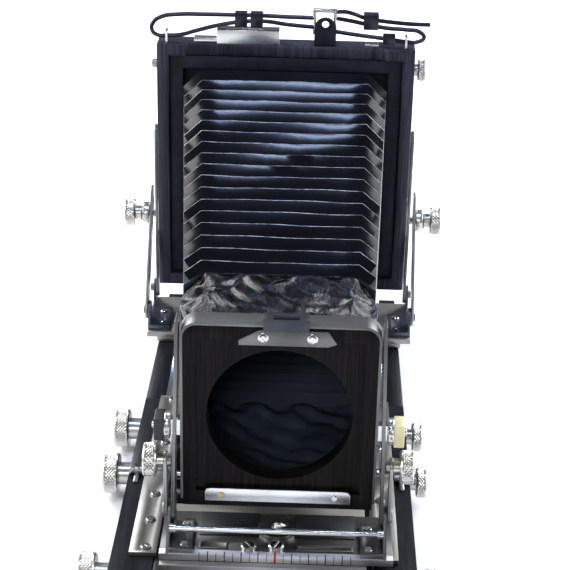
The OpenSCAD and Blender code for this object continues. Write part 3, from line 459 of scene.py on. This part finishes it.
def screws(name, pattern, spots, facing, radius, material, body, node=None):
    """One piece made of a copy of the pattern at each spot, turned a little further each time"""
    bpy.ops.object.select_all(action="DESELECT")
    for number, spot in enumerate(spots):
        one = bpy.data.objects.new(name, pattern.data.copy())
        bpy.context.scene.collection.objects.link(one)
        turn = Matrix.Rotation(0.6 + 2.1 * number, 4, "Z")
        one.data.transform(Matrix.Translation(spot)
                           @ Vector(facing).to_track_quat("Z", "Y").to_matrix().to_4x4()
                           @ turn @ Matrix.Scale(radius, 4))
        one.select_set(True)
        bpy.context.view_layer.objects.active = one
    if len(spots) > 1:
        bpy.ops.object.join()
    whole = bpy.context.view_layer.objects.active
    whole.name = name
    bpy.ops.object.shade_smooth_by_angle(angle=math.radians(30))
    whole.data.materials.clear()
    whole.data.materials.append(material)
    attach(whole, body)
    if node:
        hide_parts(node)
    return whole


def body_of(node):
    return frame["nodes"][node]["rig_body"]


up, forward = (0, 0, 1), (0, -1, 0)
guide_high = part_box("rear_guide_plates")[1]
guide_x = guide_high.x - 0.0095
guide_screw_end, guide_screw_pitch = 0.006, 0.03
for node in ("rear_guide_plates", "front_guide_plates"):
    low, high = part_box(node)
    rows = math.floor((high.y - low.y - 2 * guide_screw_end) / guide_screw_pitch) + 1
    spots = [(side * guide_x, low.y + guide_screw_end + guide_screw_pitch * row, guide_high.z)
             for row in range(rows) for side in (-1, 1)]
    screws(node + "_screws", screw, spots, up, 0.003, steel, body_of(node))
feet_low, feet_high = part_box("rear_base_plate")
foot_block, foot_screw_x = 0.004, 0.09
foot_spots = [(side * foot_screw_x, feet_low.y + back, feet_high.z + foot_block)
              for side in (-1, 1) for back in (0.01, 0.028)]
screws("foot_screws", screw, foot_spots, up, 0.0027, steel, body_of("rear_feet"))
bracket_low, bracket_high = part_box("foot_brackets")
shift = (bracket_low.x + bracket_high.x) / 2
plate_top = bracket_low.z
bracket_sheet, bracket_screw_x = 0.0022, 0.055
bracket_spots = [(shift + side * bracket_screw_x, bracket_low.y + back, plate_top + bracket_sheet)
                 for side in (-1, 1) for back in (0.007, 0.029)]
screws("bracket_screws", screw, bracket_spots, up, 0.0025, steel, body_of("foot_brackets"))
lock_low, lock_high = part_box("board_lock_plate")
name_low, name_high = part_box("name_plate")
lock_middle, lock_screw_x, lock_screw_z = (lock_low.x + lock_high.x) / 2, 0.014, lock_low.z + 0.0052
washer_out = 0.0005
lock_spots = [(lock_middle + side * lock_screw_x, lock_low.y - washer_out, lock_screw_z) for side in (-1, 1)]
screw_spots = [Vector(spot) + washer_out * Vector(forward) for spot in lock_spots]
screws("lock_washers", washer, lock_spots, forward, 0.0022, steel, "lens_frame", "plate_screws")
screws("lock_screws", screw, screw_spots, forward, 0.0022, steel, "lens_frame", "plate_screws")
name_middle, name_screw_x = (name_low.x + name_high.x) / 2, 0.0335
name_screw_z = (name_low.z + name_high.z) / 2
for end, side, metal in (("left", -1, brass), ("right", 1, steel)):
    spot = (name_middle + side * name_screw_x, name_low.y - 0.0003, name_screw_z)
    screws("name_plate_screw_" + end, screw, [spot], forward, 0.0018, metal,
           "lens_frame", "plate_screws")
stud_spots = [(shift - 0.0165, -0.147, plate_top + 0.0008), (shift, -0.1465, plate_top + 0.0012)]
screws("swing_plate_studs", screw, stud_spots, up, 0.0046, steel, body_of("swing_plate"))
bpy.data.objects.remove(screw)
bpy.data.objects.remove(washer)

# ---- Knobs ----------------------------------------------------------------------------------
# Nickelled brass knobs turned with a neck, chamfered at both rims, cut with a diamond knurl and
# recessed in the end face.
knurl_pitch = 0.00125
knurl_depth = 0.00042
knob_chamfer = 0.0009
face_recess, face_boss = 0.0008, 0.0006
# Each neck's radius and length
focus_neck = (0.0075, 0.008)
lock_neck = (0.0055, 0.0045)


def start_rod(name, sides, radius, length, middle):
    """A plain cylinder along X as a new piece, active and selected"""
    bpy.ops.object.select_all(action="DESELECT")
    bpy.ops.mesh.primitive_cylinder_add(vertices=sides, radius=radius, depth=length,
                                        location=middle, rotation=(0, math.pi / 2, 0))
    part = bpy.context.object
    part.name = name
    bpy.ops.object.transform_apply(location=True, rotation=True, scale=True)
    return part


def knurled_knob(name, inner_x, out, centre_y, centre_z, neck_radius, neck, radius, width,
                 chamfer=knob_chamfer):
    """A knob about an axis along X. out is 1 or -1, the way that it faces."""
    teeth = 2 * round(math.pi * radius / knurl_pitch)
    grip = width - 2 * chamfer
    rows = 2 * round(grip / knurl_pitch / 1.6)
    middle = (inner_x + out * (neck + width / 2), centre_y, centre_z)
    knob = start_rod(name, teeth, radius, grip, middle)
    bpy.ops.object.mode_set(mode="EDIT")
    first = middle[0] - grip / 2
    for row in range(1, rows):
        bpy.ops.mesh.select_all(action="SELECT")
        bpy.ops.mesh.bisect(plane_co=(first + grip * row / rows, centre_y, centre_z), plane_no=(1, 0, 0))

    def grow(step, share):
        bpy.ops.mesh.extrude_region_move(TRANSFORM_OT_translate={"value": (step, 0, 0)})
        bpy.ops.transform.resize(value=(1, share, share), center_override=middle)

    pick(knob, lambda face: face.normal.x * out > 0.9)
    grow(out * chamfer, 1 - chamfer / radius)
    bpy.ops.mesh.inset(thickness=0.2 * radius)
    grow(-out * face_recess, 0.97)
    bpy.ops.mesh.inset(thickness=0.3 * radius)
    grow(out * face_boss, 0.95)
    pick(knob, lambda face: face.normal.x * out < -0.9)
    grow(-out * chamfer, 1 - chamfer / radius)
    bpy.ops.mesh.inset(thickness=radius - chamfer - neck_radius)
    bpy.ops.mesh.extrude_region_move(TRANSFORM_OT_translate={"value": (-out * neck, 0, 0)})

    def on_grip(x, y, z):
        on_rim = abs(math.hypot(y - centre_y, z - centre_z) - radius) < 1e-5
        return on_rim and abs(x - middle[0]) < grip / 2 + 1e-5

    pick(knob, lambda face: all(on_grip(*knob.data.vertices[v].co) for v in face.vertices))
    bpy.ops.object.mode_set(mode="OBJECT")
    for vertex in knob.data.vertices:
        x, y, z = vertex.co
        if on_grip(x, y, z):
            row = round((x - first) / grip * rows)
            tooth = round(math.atan2(z - centre_z, y - centre_y) / (2 * math.pi) * teeth)
            rim = row in (0, rows)
            down = knurl_depth * (0.5 if rim else (tooth + row) % 2)
            vertex.co.y = centre_y + (y - centre_y) * (1 - down / radius)
            vertex.co.z = centre_z + (z - centre_z) * (1 - down / radius)
    bpy.ops.object.mode_set(mode="EDIT")
    bpy.ops.mesh.quads_convert_to_tris(quad_method="SHORTEST_DIAGONAL")
    bpy.ops.object.mode_set(mode="OBJECT")
    bpy.ops.object.shade_smooth_by_angle(angle=math.radians(22))
    return knob


nickel = turned("knob_nickel", (0.78, 0.76, 0.71), 0.24, (0.55, 0.53, 0.48))


def knob_from(node, neck_radius, neck):
    """A knob in the place of a knob's node, sized from the node's own box"""
    low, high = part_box(node)
    out = 1 if high.x + low.x > 0 else -1
    inner, outer = (low.x, high.x) if out > 0 else (high.x, low.x)
    radius = (high.z - low.z) / 2
    knob = knurled_knob(node + "_grip", inner, out, (low.y + high.y) / 2, (low.z + high.z) / 2,
                        neck_radius, neck, radius, abs(outer - inner) - neck)
    settle(knob, node, nickel)


for side in ("left", "right"):
    knob_from("rear_knob_" + side, 0.0055, 0.0105)
    knob_from("front_tilt_knob_" + side, 0.005, 0.004)

# A loose collar on each rear knob's neck spreads its grip over the slotted arm and brace.
for side, out in (("left", -1), ("right", 1)):
    node = "rear_knob_" + side
    low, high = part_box(node)
    inner = low.x if out > 0 else high.x
    collar = start_rod(node + "_collar", 48, 0.0086, 0.0046,
                       (inner + out * 0.0024, (low.y + high.y) / 2, (low.z + high.z) / 2))
    pick(collar, lambda face: face.normal.x * out > 0.9)
    bpy.ops.mesh.inset(thickness=0.0022)
    bpy.ops.transform.translate(value=(out * 0.0016, 0, 0))
    bpy.ops.object.mode_set(mode="OBJECT")
    break_edges(collar, 0.0003, corner=30)
    bpy.ops.object.shade_smooth_by_angle(angle=math.radians(35))
    settle(collar, node, nickel)
knob_from("frame_knob", 0.0045, 0.0025)
for end in ("front", "rear"):
    knob_from(end + "_focus_knob", *focus_neck)
    knob_from(end + "_lock_knob", *lock_neck)

# The lock rod has a large knob at its left end and a small one at its right.
rod_low, rod_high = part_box("bed_lock_rod")
focus_low, focus_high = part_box("rear_focus_knob")
small_low, small_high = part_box("rear_lock_knob")
rod_y, rod_z = (rod_low.y + rod_high.y) / 2, (rod_low.z + rod_high.z) / 2
left_grip = knurled_knob("lock_rod_left_grip", focus_high.x, -1, rod_y, rod_z, *focus_neck,
                         (focus_high.z - focus_low.z) / 2, focus_high.x - focus_low.x - focus_neck[1])
right_grip = knurled_knob("lock_rod_right_grip", small_low.x, 1, rod_y, rod_z, *lock_neck,
                          (small_high.z - small_low.z) / 2, small_high.x - small_low.x - lock_neck[1])
lock_rod = start_rod("lock_rod_shaft", 40, 0.003, small_low.x - focus_high.x + 0.002, (0, rod_y, rod_z))
bpy.ops.object.shade_smooth_by_angle(angle=math.radians(40))
for part, metal in ((left_grip, nickel), (right_grip, nickel), (lock_rod, steel)):
    settle(part, "bed_lock_rod", metal)

# ---- Rise locks -----------------------------------------------------------------------------
# Moulded nylon thumb blocks on turned discs: a black one on the left and a cream one on the right.


def nylon(name, colour, shade):
    material, shader = new_material(name, 0.0, 0.5)
    speckle = noise_on(material, 120, detail=4)
    colour_from(material, shader, speckle, [(0.3, shade), (0.7, colour)])
    relief_from(material, shader, [(noise_on(material, 1500), 0.2)], 0.0002)
    return material


black_nylon = nylon("black_nylon", (0.03, 0.03, 0.032), (0.015, 0.015, 0.016))
cream_nylon = nylon("cream_nylon", (0.86, 0.8, 0.5), (0.72, 0.65, 0.38))
lock_disc = 0.0034
thumb_size = (0.0062, 0.014, 0.014)
stud_length = 0.003
for side, material in (("left", black_nylon), ("right", cream_nylon)):
    node = "rise_lock_" + side
    low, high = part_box(node)
    out = -1 if side == "left" else 1
    inner, outer = (high.x, low.x) if out < 0 else (low.x, high.x)
    lock_y, lock_z = (low.y + high.y) / 2, (low.z + high.z) / 2
    disc = knurled_knob(node + "_disc", inner, out, lock_y, lock_z, 0.004, 0.0003, (high.z - low.z) / 2,
                        lock_disc - 0.0003, 0.0004)
    settle(disc, node, nickel)
    thumb_x = inner + out * (lock_disc + thumb_size[0] / 2)
    thumb = start_box(node + "_block", (thumb_x, lock_y, lock_z), thumb_size)
    pick(thumb, lambda face: face.normal.x * out > 0.9)
    bpy.ops.mesh.inset(thickness=0.0042)
    bpy.ops.mesh.extrude_region_move(TRANSFORM_OT_translate={"value": (-out * 0.0015, 0, 0)})
    bpy.ops.object.mode_set(mode="OBJECT")
    break_edges(thumb, 0.0008, 3)
    bpy.ops.object.shade_smooth_by_angle(angle=math.radians(40))
    settle(thumb, node, material)
    stud = start_rod(node + "_stud", 28, 0.0022, stud_length, (outer - out * stud_length / 2, lock_y, lock_z))
    pick(stud, lambda face: face.normal.x * out > 0.9)
    bpy.ops.mesh.inset(thickness=0.0006)
    bpy.ops.transform.translate(value=(out * 0.0003, 0, 0))
    bpy.ops.object.mode_set(mode="OBJECT")
    bpy.ops.object.shade_smooth_by_angle(angle=math.radians(40))
    settle(stud, node, steel)

# ---- Lens frame -----------------------------------------------------------------------------
# A solid hardwood panel with upright grain, rebated for the lens board and bored for the lens.
panel_wood = black_wood("panel_wood", 2, (0.0035, 0.003, 0.003), (0.016, 0.012, 0.012), 0.34, 0.55, 0.1)
eased("lens_frame", 0.0005, panel_wood)
black_enamel, enamel_shader = new_material("black_enamel", 0.0, 0.42)
colour_from(black_enamel, enamel_shader, noise_on(black_enamel, 90),
            [(0.3, (0.004, 0.005, 0.011)), (0.7, (0.011, 0.014, 0.026))])
roughness_from(black_enamel, enamel_shader, noise_on(black_enamel, 200), 0.4, 0.55)
enamel_shader.inputs["Specular IOR Level"].default_value = 0.22
for node in ("front_bellows_frame", "rear_bellows_frame", "catch_tab"):
    eased(node, 0.0003, black_enamel)

# ---- Rear frame and back --------------------------------------------------------------------
# The upright frame that takes the bellows, the reversible back behind it and the frame of the
# ground glass, all in the same black wood.
frame_wood = black_wood("frame_wood", 2, (0.013, 0.013, 0.026), (0.05, 0.05, 0.085), 0.3, 0.48)
for node in ("rear_frame", "back_frame", "glass_frame"):
    eased(node, 0.0008, frame_wood)

glass, glass_shader = new_material("ground_glass", 0.0, 0.55)
glass_shader.inputs["Base Color"].default_value = (0.78, 0.82, 0.82, 1)
glass_shader.inputs["Transmission Weight"].default_value = 0.7
relief_from(glass, glass_shader, [(noise_on(glass, 4000), 0.3)], 0.0001)
eased("ground_glass", 0.0003, glass)

# ---- Bellows --------------------------------------------------------------------------------
# Thin black leather folded into pleats with cut corners. It narrows towards the lens and is cut
# into five stretches, each a piece of its own.
pleats = 18
pleat_depth = 0.0066
corner_cut = 0.0135
back_low, back_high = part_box("bellows_pleats")
bag_low, bag_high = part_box("bellows_bag")
fold_back = back_high.y
fold_front = back_low.y
front_low, front_top = 0.074, 0.167
open_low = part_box("rear_frame")[0].z + 0.0195


def bellows_section(y):
    """Middle X, half width, lowest and highest Z of the pleats' outer edge at y"""
    share = (fold_back - y) / (fold_back - fold_front)

    def between(a, b):
        return a + (b - a) * share

    front_middle = (bag_low.x + bag_high.x) / 2
    return (between(0.0, front_middle), between(back_high.x, (bag_high.x - bag_low.x) / 2),
            between(open_low, front_low), between(back_high.z, front_top))


def ring_outline(name, y):
    """An upright edge loop with cut corners, as the start of an extrusion"""
    middle, half, low, high = bellows_section(y)
    bpy.ops.object.select_all(action="DESELECT")
    bpy.ops.mesh.primitive_plane_add(size=1, location=(middle, y, (low + high) / 2),
                                     rotation=(math.pi / 2, 0, 0))
    outline = bpy.context.object
    outline.name = name
    outline.scale = (2 * half, high - low, 1)
    bpy.ops.object.transform_apply(location=True, rotation=True, scale=True)
    bpy.ops.object.mode_set(mode="EDIT")
    bpy.ops.mesh.select_all(action="SELECT")
    bpy.ops.mesh.bevel(offset=corner_cut, segments=1, affect="VERTICES")
    bpy.ops.mesh.select_mode(type="FACE")
    bpy.ops.mesh.select_all(action="SELECT")
    bpy.ops.mesh.delete(type="ONLY_FACE")
    bpy.ops.mesh.select_mode(type="EDGE")
    bpy.ops.mesh.select_all(action="SELECT")
    return outline


def next_ring(y_now, y, inset_now, inset_next):
    """Extrudes the selected loop from y_now to the section at y, drawn in by inset_next"""
    m0, h0, l0, t0 = bellows_section(y_now)
    m1, h1, l1, t1 = bellows_section(y)
    centre = (m1, y, (l1 + t1) / 2)
    move = (m1 - m0, y - y_now, (l1 + t1) / 2 - (l0 + t0) / 2)
    bpy.ops.mesh.extrude_region_move(TRANSFORM_OT_translate={"value": move})
    wide = (h1 - inset_next) / (h0 - inset_now)
    tall = ((t1 - l1) / 2 - inset_next) / ((t0 - l0) / 2 - inset_now)
    bpy.ops.transform.resize(value=(wide, 1, tall), center_override=centre)


bellows = ring_outline("bellows", fold_back)
steps = 2 * pleats
fold_step = (fold_back - fold_front) / steps
drawn_in, y_now = 0.0, fold_back
for step in range(1, steps + 1):
    wanted = pleat_depth if step % 2 else 0.0
    y_next = fold_back + (fold_front - fold_back) * step / steps
    next_ring(y_now, y_next, drawn_in, wanted)
    drawn_in, y_now = wanted, y_next


def fold_number(y):
    return (fold_back - y) / fold_step


def is_ridge(edge):
    ends = [bellows.data.vertices[v].co.y for v in edge.vertices]
    number = fold_number(ends[0])
    return abs(ends[0] - ends[1]) < 1e-5 and round(number) % 2 == 0 and 0.5 < number < steps - 0.5


def face_outward(part):
    """Turns every face away from the piece's own middle line, which runs along Y"""
    bpy.ops.object.mode_set(mode="EDIT")
    bpy.ops.mesh.select_all(action="SELECT")
    bpy.ops.mesh.normals_make_consistent(inside=False)
    bpy.ops.object.mode_set(mode="OBJECT")
    middle = sum((vertex.co for vertex in part.data.vertices), Vector()) / len(part.data.vertices)
    middle.y = 0
    outward = sum((face.center - Vector((0, face.center.y, 0)) - middle).dot(face.normal) * face.area
                  for face in part.data.polygons)
    if outward < 0:
        bpy.ops.object.mode_set(mode="EDIT")
        bpy.ops.mesh.flip_normals()
        bpy.ops.object.mode_set(mode="OBJECT")


def runs_round(part, shortest, longest=1.0):
    """Says yes to the edges that run round the tube, with a length between the two given"""
    def wanted(edge):
        start, end = (part.data.vertices[v].co for v in edge.vertices)
        return abs(start.y - end.y) < 1e-5 and shortest < (start - end).length < longest
    return wanted


pick(bellows, runs_round(bellows, 0.05), "edges")
bpy.ops.mesh.subdivide(number_cuts=9)
pick(bellows, is_ridge, "edges")
bpy.ops.mesh.bevel(offset=0.0006, segments=2, affect="EDGES")
face_outward(bellows)
# The crest attribute marks the middle row of each ridge's bevel, where the leather gets a painted highlight.
crest = bellows.data.attributes.new("crest", "FLOAT", "POINT")
for vertex in bellows.data.vertices:
    number = fold_number(vertex.co.y)
    near = abs(number - 2 * round(number / 2)) * fold_step
    if not 0.3 < number < steps - 0.3:
        continue
    crest.data[vertex.index].value = 1.0 if near < 0.0001 else 0.0
    wave = math.sin(vertex.co.x * 95 + number * 2.1) * math.sin(vertex.co.x * 37 - number * 1.3)
    vertex.co.z += 0.0004 * wave
    vertex.co.y += 0.0003 * math.sin(vertex.co.x * 61 + number * 3.7)


def bellows_leather(name, base, shine, grain, relief=0.05, gloss=0.36):
    material, shader = new_material(name, 0.0, 0.35)
    nodes, links = material.node_tree.nodes, material.node_tree.links
    patches = noise_on(material, 30, detail=5)
    pebble = noise_on(material, grain, detail=3, rough=0.6)
    creases = noise_on(material, grain / 6, (1, 1.6, 1), 4)
    colour = ramp_from(material, patches, [(0.3, base), (0.75, shine)])
    # A painted highlight: the crest rows are mixed towards a pale grey, broken up by noise.
    edge = nodes.new("ShaderNodeAttribute")
    edge.attribute_name = "crest"
    wear_and_highlight = nodes.new("ShaderNodeMath")
    wear_and_highlight.operation = "MULTIPLY"
    links.new(edge.outputs["Fac"], wear_and_highlight.inputs[0])
    highlight_breakup = ramp_from(material, noise_on(material, 150), [(0.35, (0.1, 0.1, 0.1)), (0.6, (1, 1, 1))])
    links.new(highlight_breakup, wear_and_highlight.inputs[1])
    crest_highlight_grey = (0.5, 0.5, 0.55)
    links.new(mixed(material, wear_and_highlight.outputs["Value"], colour, crest_highlight_grey), shader.inputs["Base Color"])
    roughness_from(material, shader, patches, 0.2, 0.18)
    relief_from(material, shader, [(pebble, relief), (creases, 0.6 * relief)], 0.0005)
    shader.inputs["Specular IOR Level"].default_value = gloss
    return material


pleat_leather = bellows_leather("pleat_leather", (0.0015, 0.0016, 0.003), (0.004, 0.005, 0.01), 900)
bellows.data.materials.append(pleat_leather)

leather_wall = 0.0005
# The lining's blue grey is partly its own colour and partly painted sheen: it is lightened to stand for the
# soft bluish gleam on the bellows' floor seen through the lens opening.
lining, lining_shader = new_material("bellows_lining", 0.0, 0.7)
colour_from(lining, lining_shader, noise_on(lining, 25),
            [(0.3, (0.03, 0.045, 0.075)), (0.7, (0.06, 0.085, 0.13))])
relief_from(lining, lining_shader, [(noise_on(lining, 1600), 0.3)], 0.0003)


def stretch_of(whole, name, front_y, back_y, node):
    """The part of a bellows between two folds, as a piece of its own with a leather wall and a lining inside
    """
    bpy.ops.object.select_all(action="DESELECT")
    part = whole.copy()
    part.data = whole.data.copy()
    part.name = name
    bpy.context.scene.collection.objects.link(part)
    part.select_set(True)
    bpy.context.view_layer.objects.active = part
    fold = [row.value for row in part.data.attributes["fold_y"].data]
    pick(part, lambda face: not front_y <= fold[face.index] < back_y)
    bpy.ops.mesh.delete(type="FACE")
    bpy.ops.object.mode_set(mode="OBJECT")
    part.data.materials.append(lining)
    wall = part.modifiers.new("leather_wall", "SOLIDIFY")
    wall.thickness = leather_wall
    wall.offset = -1
    wall.material_offset = 1
    wall.material_offset_rim = 0
    bpy.ops.object.modifier_apply(modifier="leather_wall")
    bpy.ops.object.shade_smooth_by_angle(angle=math.radians(30))
    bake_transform(part)
    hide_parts(node)
    return part


def mark_folds(part):
    """Keeps each face's own Y, so that the piece can still be cut there once it has moved"""
    fold_y = part.data.attributes.new("fold_y", "FLOAT", "FACE")
    for face in part.data.polygons:
        fold_y.data[face.index].value = face.center.y


mark_folds(bellows)


def valley(number):
    return fold_back - (2 * number + 1) * fold_step


cuts = [fold_back + 0.001, valley(1), valley(3), valley(10), valley(12), fold_front - 0.001]
spans = [("rear_frame", "rear_yoke"), ("rear_yoke", "rear_carriage"), ("rear_carriage", "bed"),
         ("bed", "front_bed"), ("front_bed", "front_rack")]
for index, (body_a, body_b) in enumerate(spans):
    stretch_of(bellows, f"bellows_stretch_{index + 1}", cuts[index + 1], cuts[index], "bellows_pleats")
bpy.data.objects.remove(bellows)

# ---- Bag ------------------------------------------------------------------------------------
# A soft leather bag joins the last pleat to the lens frame. It has more leather than it needs, so
# it crumples; its slack is let out by a short cloth simulation with both ends held.
glued = 0.0012
bag_back = fold_front + glued
bag_front = bag_low.y
bag_ring = ring_outline("bag", bag_back)
m0, h0, l0, t0 = bellows_section(bag_back)
frame_low, frame_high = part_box("front_bellows_frame")
m1, h1 = (frame_low.x + frame_high.x) / 2, (frame_high.x - frame_low.x) / 2 - 0.002
l1, t1 = frame_low.z + 0.002, frame_high.z - 0.002
bpy.ops.mesh.extrude_region_move(TRANSFORM_OT_translate={
    "value": (m1 - m0, bag_front - bag_back, (l1 + t1 - l0 - t0) / 2)})
bpy.ops.transform.resize(value=(h1 / h0, 1, (t1 - l1) / (t0 - l0)),
                         center_override=(m1, bag_front, (l1 + t1) / 2))


def bag_along(edge):
    ends = [bag_ring.data.vertices[v].co for v in edge.vertices]
    return abs(ends[0].y - ends[1].y) > 0.05


pick(bag_ring, runs_round(bag_ring, 0.008, 0.04), "edges")
bpy.ops.mesh.subdivide(number_cuts=4)
pick(bag_ring, runs_round(bag_ring, 0.04), "edges")
bpy.ops.mesh.subdivide(number_cuts=27)
pick(bag_ring, bag_along, "edges")
bpy.ops.mesh.subdivide(number_cuts=25)
face_outward(bag_ring)
held = bag_ring.vertex_groups.new(name="held")
for vertex in bag_ring.data.vertices:
    from_end = min(vertex.co.y - bag_front, bag_back - vertex.co.y)
    if from_end < 1e-4:
        held.add([vertex.index], 1.0, "REPLACE")
    else:
        x, y, z = vertex.co
        ripple = math.sin(x * 210 + y * 160) * math.sin(y * 290 - z * 180)
        vertex.co += vertex.normal * 0.0016 * ripple
cloth = bag_ring.modifiers.new("slack", "CLOTH")
cloth.settings.vertex_group_mass = "held"
cloth.settings.mass = 0.12
cloth.settings.tension_stiffness = 25
cloth.settings.compression_stiffness = 25
cloth.settings.shear_stiffness = 12
cloth.settings.bending_stiffness = 0.25
cloth.settings.shrink_min = -0.11
cloth.settings.quality = 6
cloth.settings.effector_weights.gravity = 0.25
cloth_frames = 30
for now in range(1, cloth_frames + 1):
    bpy.context.scene.frame_set(now)
bpy.ops.object.modifier_apply(modifier="slack")
bpy.context.scene.frame_set(1)
finer = bag_ring.modifiers.new("finer", "SUBSURF")
finer.levels = finer.render_levels = 2
bpy.ops.object.modifier_apply(modifier="finer")
crumple = bpy.data.textures.new("crumples", "VORONOI")
crumple.noise_scale = 0.011
crumple.weight_1, crumple.weight_2 = -1.0, 1.0
creased = bag_ring.modifiers.new("creased", "DISPLACE")
creased.texture = crumple
creased.texture_coords = "LOCAL"
creased.strength = 0.0016
creased.mid_level = 0.35
creased.vertex_group = "loose"
loose = bag_ring.vertex_groups.new(name="loose")
for vertex in bag_ring.data.vertices:
    from_end = min(vertex.co.y - bag_front, bag_back - vertex.co.y)
    loose.add([vertex.index], min(1.0, max(0.0, from_end / 0.008)), "REPLACE")
bpy.ops.object.modifier_apply(modifier="creased")
bag_leather = bellows_leather("bag_leather", (0.002, 0.002, 0.003), (0.008, 0.0075, 0.013), 650, 0.9, 0.3)
bag_ring.data.materials.append(bag_leather)
mark_folds(bag_ring)
reach = bag_back - bag_front
inner_cuts = [bag_back - reach * share for share in (0.15, 0.36, 0.57, 0.79)]
bag_cuts = [bag_back + 0.02, *inner_cuts, bag_front - 0.02]
bag_spans = [("front_rack", "shift_block"), ("shift_block", "front_base"), ("front_base", "front_yoke"),
             ("front_yoke", "rise_block"), ("rise_block", "lens_frame")]
for index, (body_a, body_b) in enumerate(bag_spans):
    stretch_of(bag_ring, f"bag_stretch_{index + 1}", bag_cuts[index + 1], bag_cuts[index], "bellows_bag")
bpy.data.objects.remove(bag_ring)

# ---- Carrying strap -------------------------------------------------------------------------
# A round leather thong looped through both lugs and doubled back through keepers, so that the
# hand slips under it. Its routes are the ones that the frame was built with.
lug_low, lug_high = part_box("strap_lugs")
lug_y = (lug_low.y + lug_high.y) / 2
frame_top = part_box("rear_frame")[1].z
strap_radius = 0.0016
strap_routes = {
    "left": [(20, 12.4, 3.4), (0, 14, 3), (-16, 16, 2.5), (-33, 15.4, 2), (-50, 12.6, 1), (-66, 8.5, 0),
             (-78, 5, 0), (-88, 4.2, 0), (-95, 4.4, 0), (-99, 8, 0.5), (-98, 13.5, 1), (-92, 17.6, 2),
             (-80, 19.4, 3), (-60, 19.8, 3.5), (-33, 19.8, 4), (-16, 19.8, 4), (0, 19.4, 4), (20, 19.2, 4)],
    "right": [(36, 9.6, 3), (46, 8.4, 2.5), (62, 6.8, 1.5), (76, 5.6, 0.5), (88, 4.2, 0), (96, 4.2, 0),
              (101, 7.6, 0.5), (98, 11.2, 1.5), (88, 12.4, 3), (74, 12.8, 4.5), (62, 14.4, 5), (50, 17, 4.5),
              (36, 19.4, 4)],
    "tail": [(36, 24, 4), (43, 24, 5), (50, 22, 6.5), (57, 19.2, 8), (64, 17.8, 8.2), (80, 16.2, 8),
             (92, 15.4, 8), (105.5, 15.2, 8)],
}
strap_leather = bellows_leather("strap_leather", (0.006, 0.007, 0.014), (0.02, 0.022, 0.04), 1400)
for end, route in strap_routes.items():
    line = bpy.data.curves.new("strap_" + end, "CURVE")
    line.dimensions = "3D"
    line.bevel_depth = strap_radius
    line.bevel_resolution = 4
    line.use_fill_caps = True
    line.resolution_u = 8
    spline = line.splines.new("BEZIER")
    spline.bezier_points.add(len(route) - 1)
    for knot, (x, up, behind) in zip(spline.bezier_points, route):
        knot.co = (x / 1000, lug_y + behind / 1000, frame_top + up / 1000)
        knot.handle_left_type = knot.handle_right_type = "AUTO"
    thong = bpy.data.objects.new("strap_" + end, line)
    bpy.context.scene.collection.objects.link(thong)
    line.materials.append(strap_leather)
    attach(thong, "rear_frame")
    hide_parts("strap")

# The keepers are flat leather sleeves. The ends meet in a steel frame buckle behind the catch.
buckle_low, buckle_high = 0.019, 0.037
keepers = pieces_of("strap_fittings")
pick(keepers, lambda face: buckle_low - 0.0005 < face.center.x < buckle_high + 0.0005)
bpy.ops.mesh.delete(type="FACE")
bpy.ops.object.mode_set(mode="OBJECT")
break_edges(keepers, 0.0003, 3, corner=30)
bpy.ops.object.shade_smooth_by_angle(angle=math.radians(45))
settle(keepers, "strap_fittings", strap_leather)
buckle = start_box("strap_buckle", ((buckle_low + buckle_high) / 2, lug_y + 0.0043, frame_top + 0.0166),
                   (buckle_high - buckle_low, 0.0036, 0.019))
pick(buckle, lambda face: abs(face.normal.y) > 0.9)
bpy.ops.mesh.inset(thickness=0.0026)
bpy.ops.mesh.bridge_edge_loops()
bpy.ops.object.mode_set(mode="OBJECT")
break_edges(buckle, 0.0007, 3)
bpy.ops.object.shade_smooth_by_angle(angle=math.radians(45))
settle(buckle, "strap_fittings", steel)
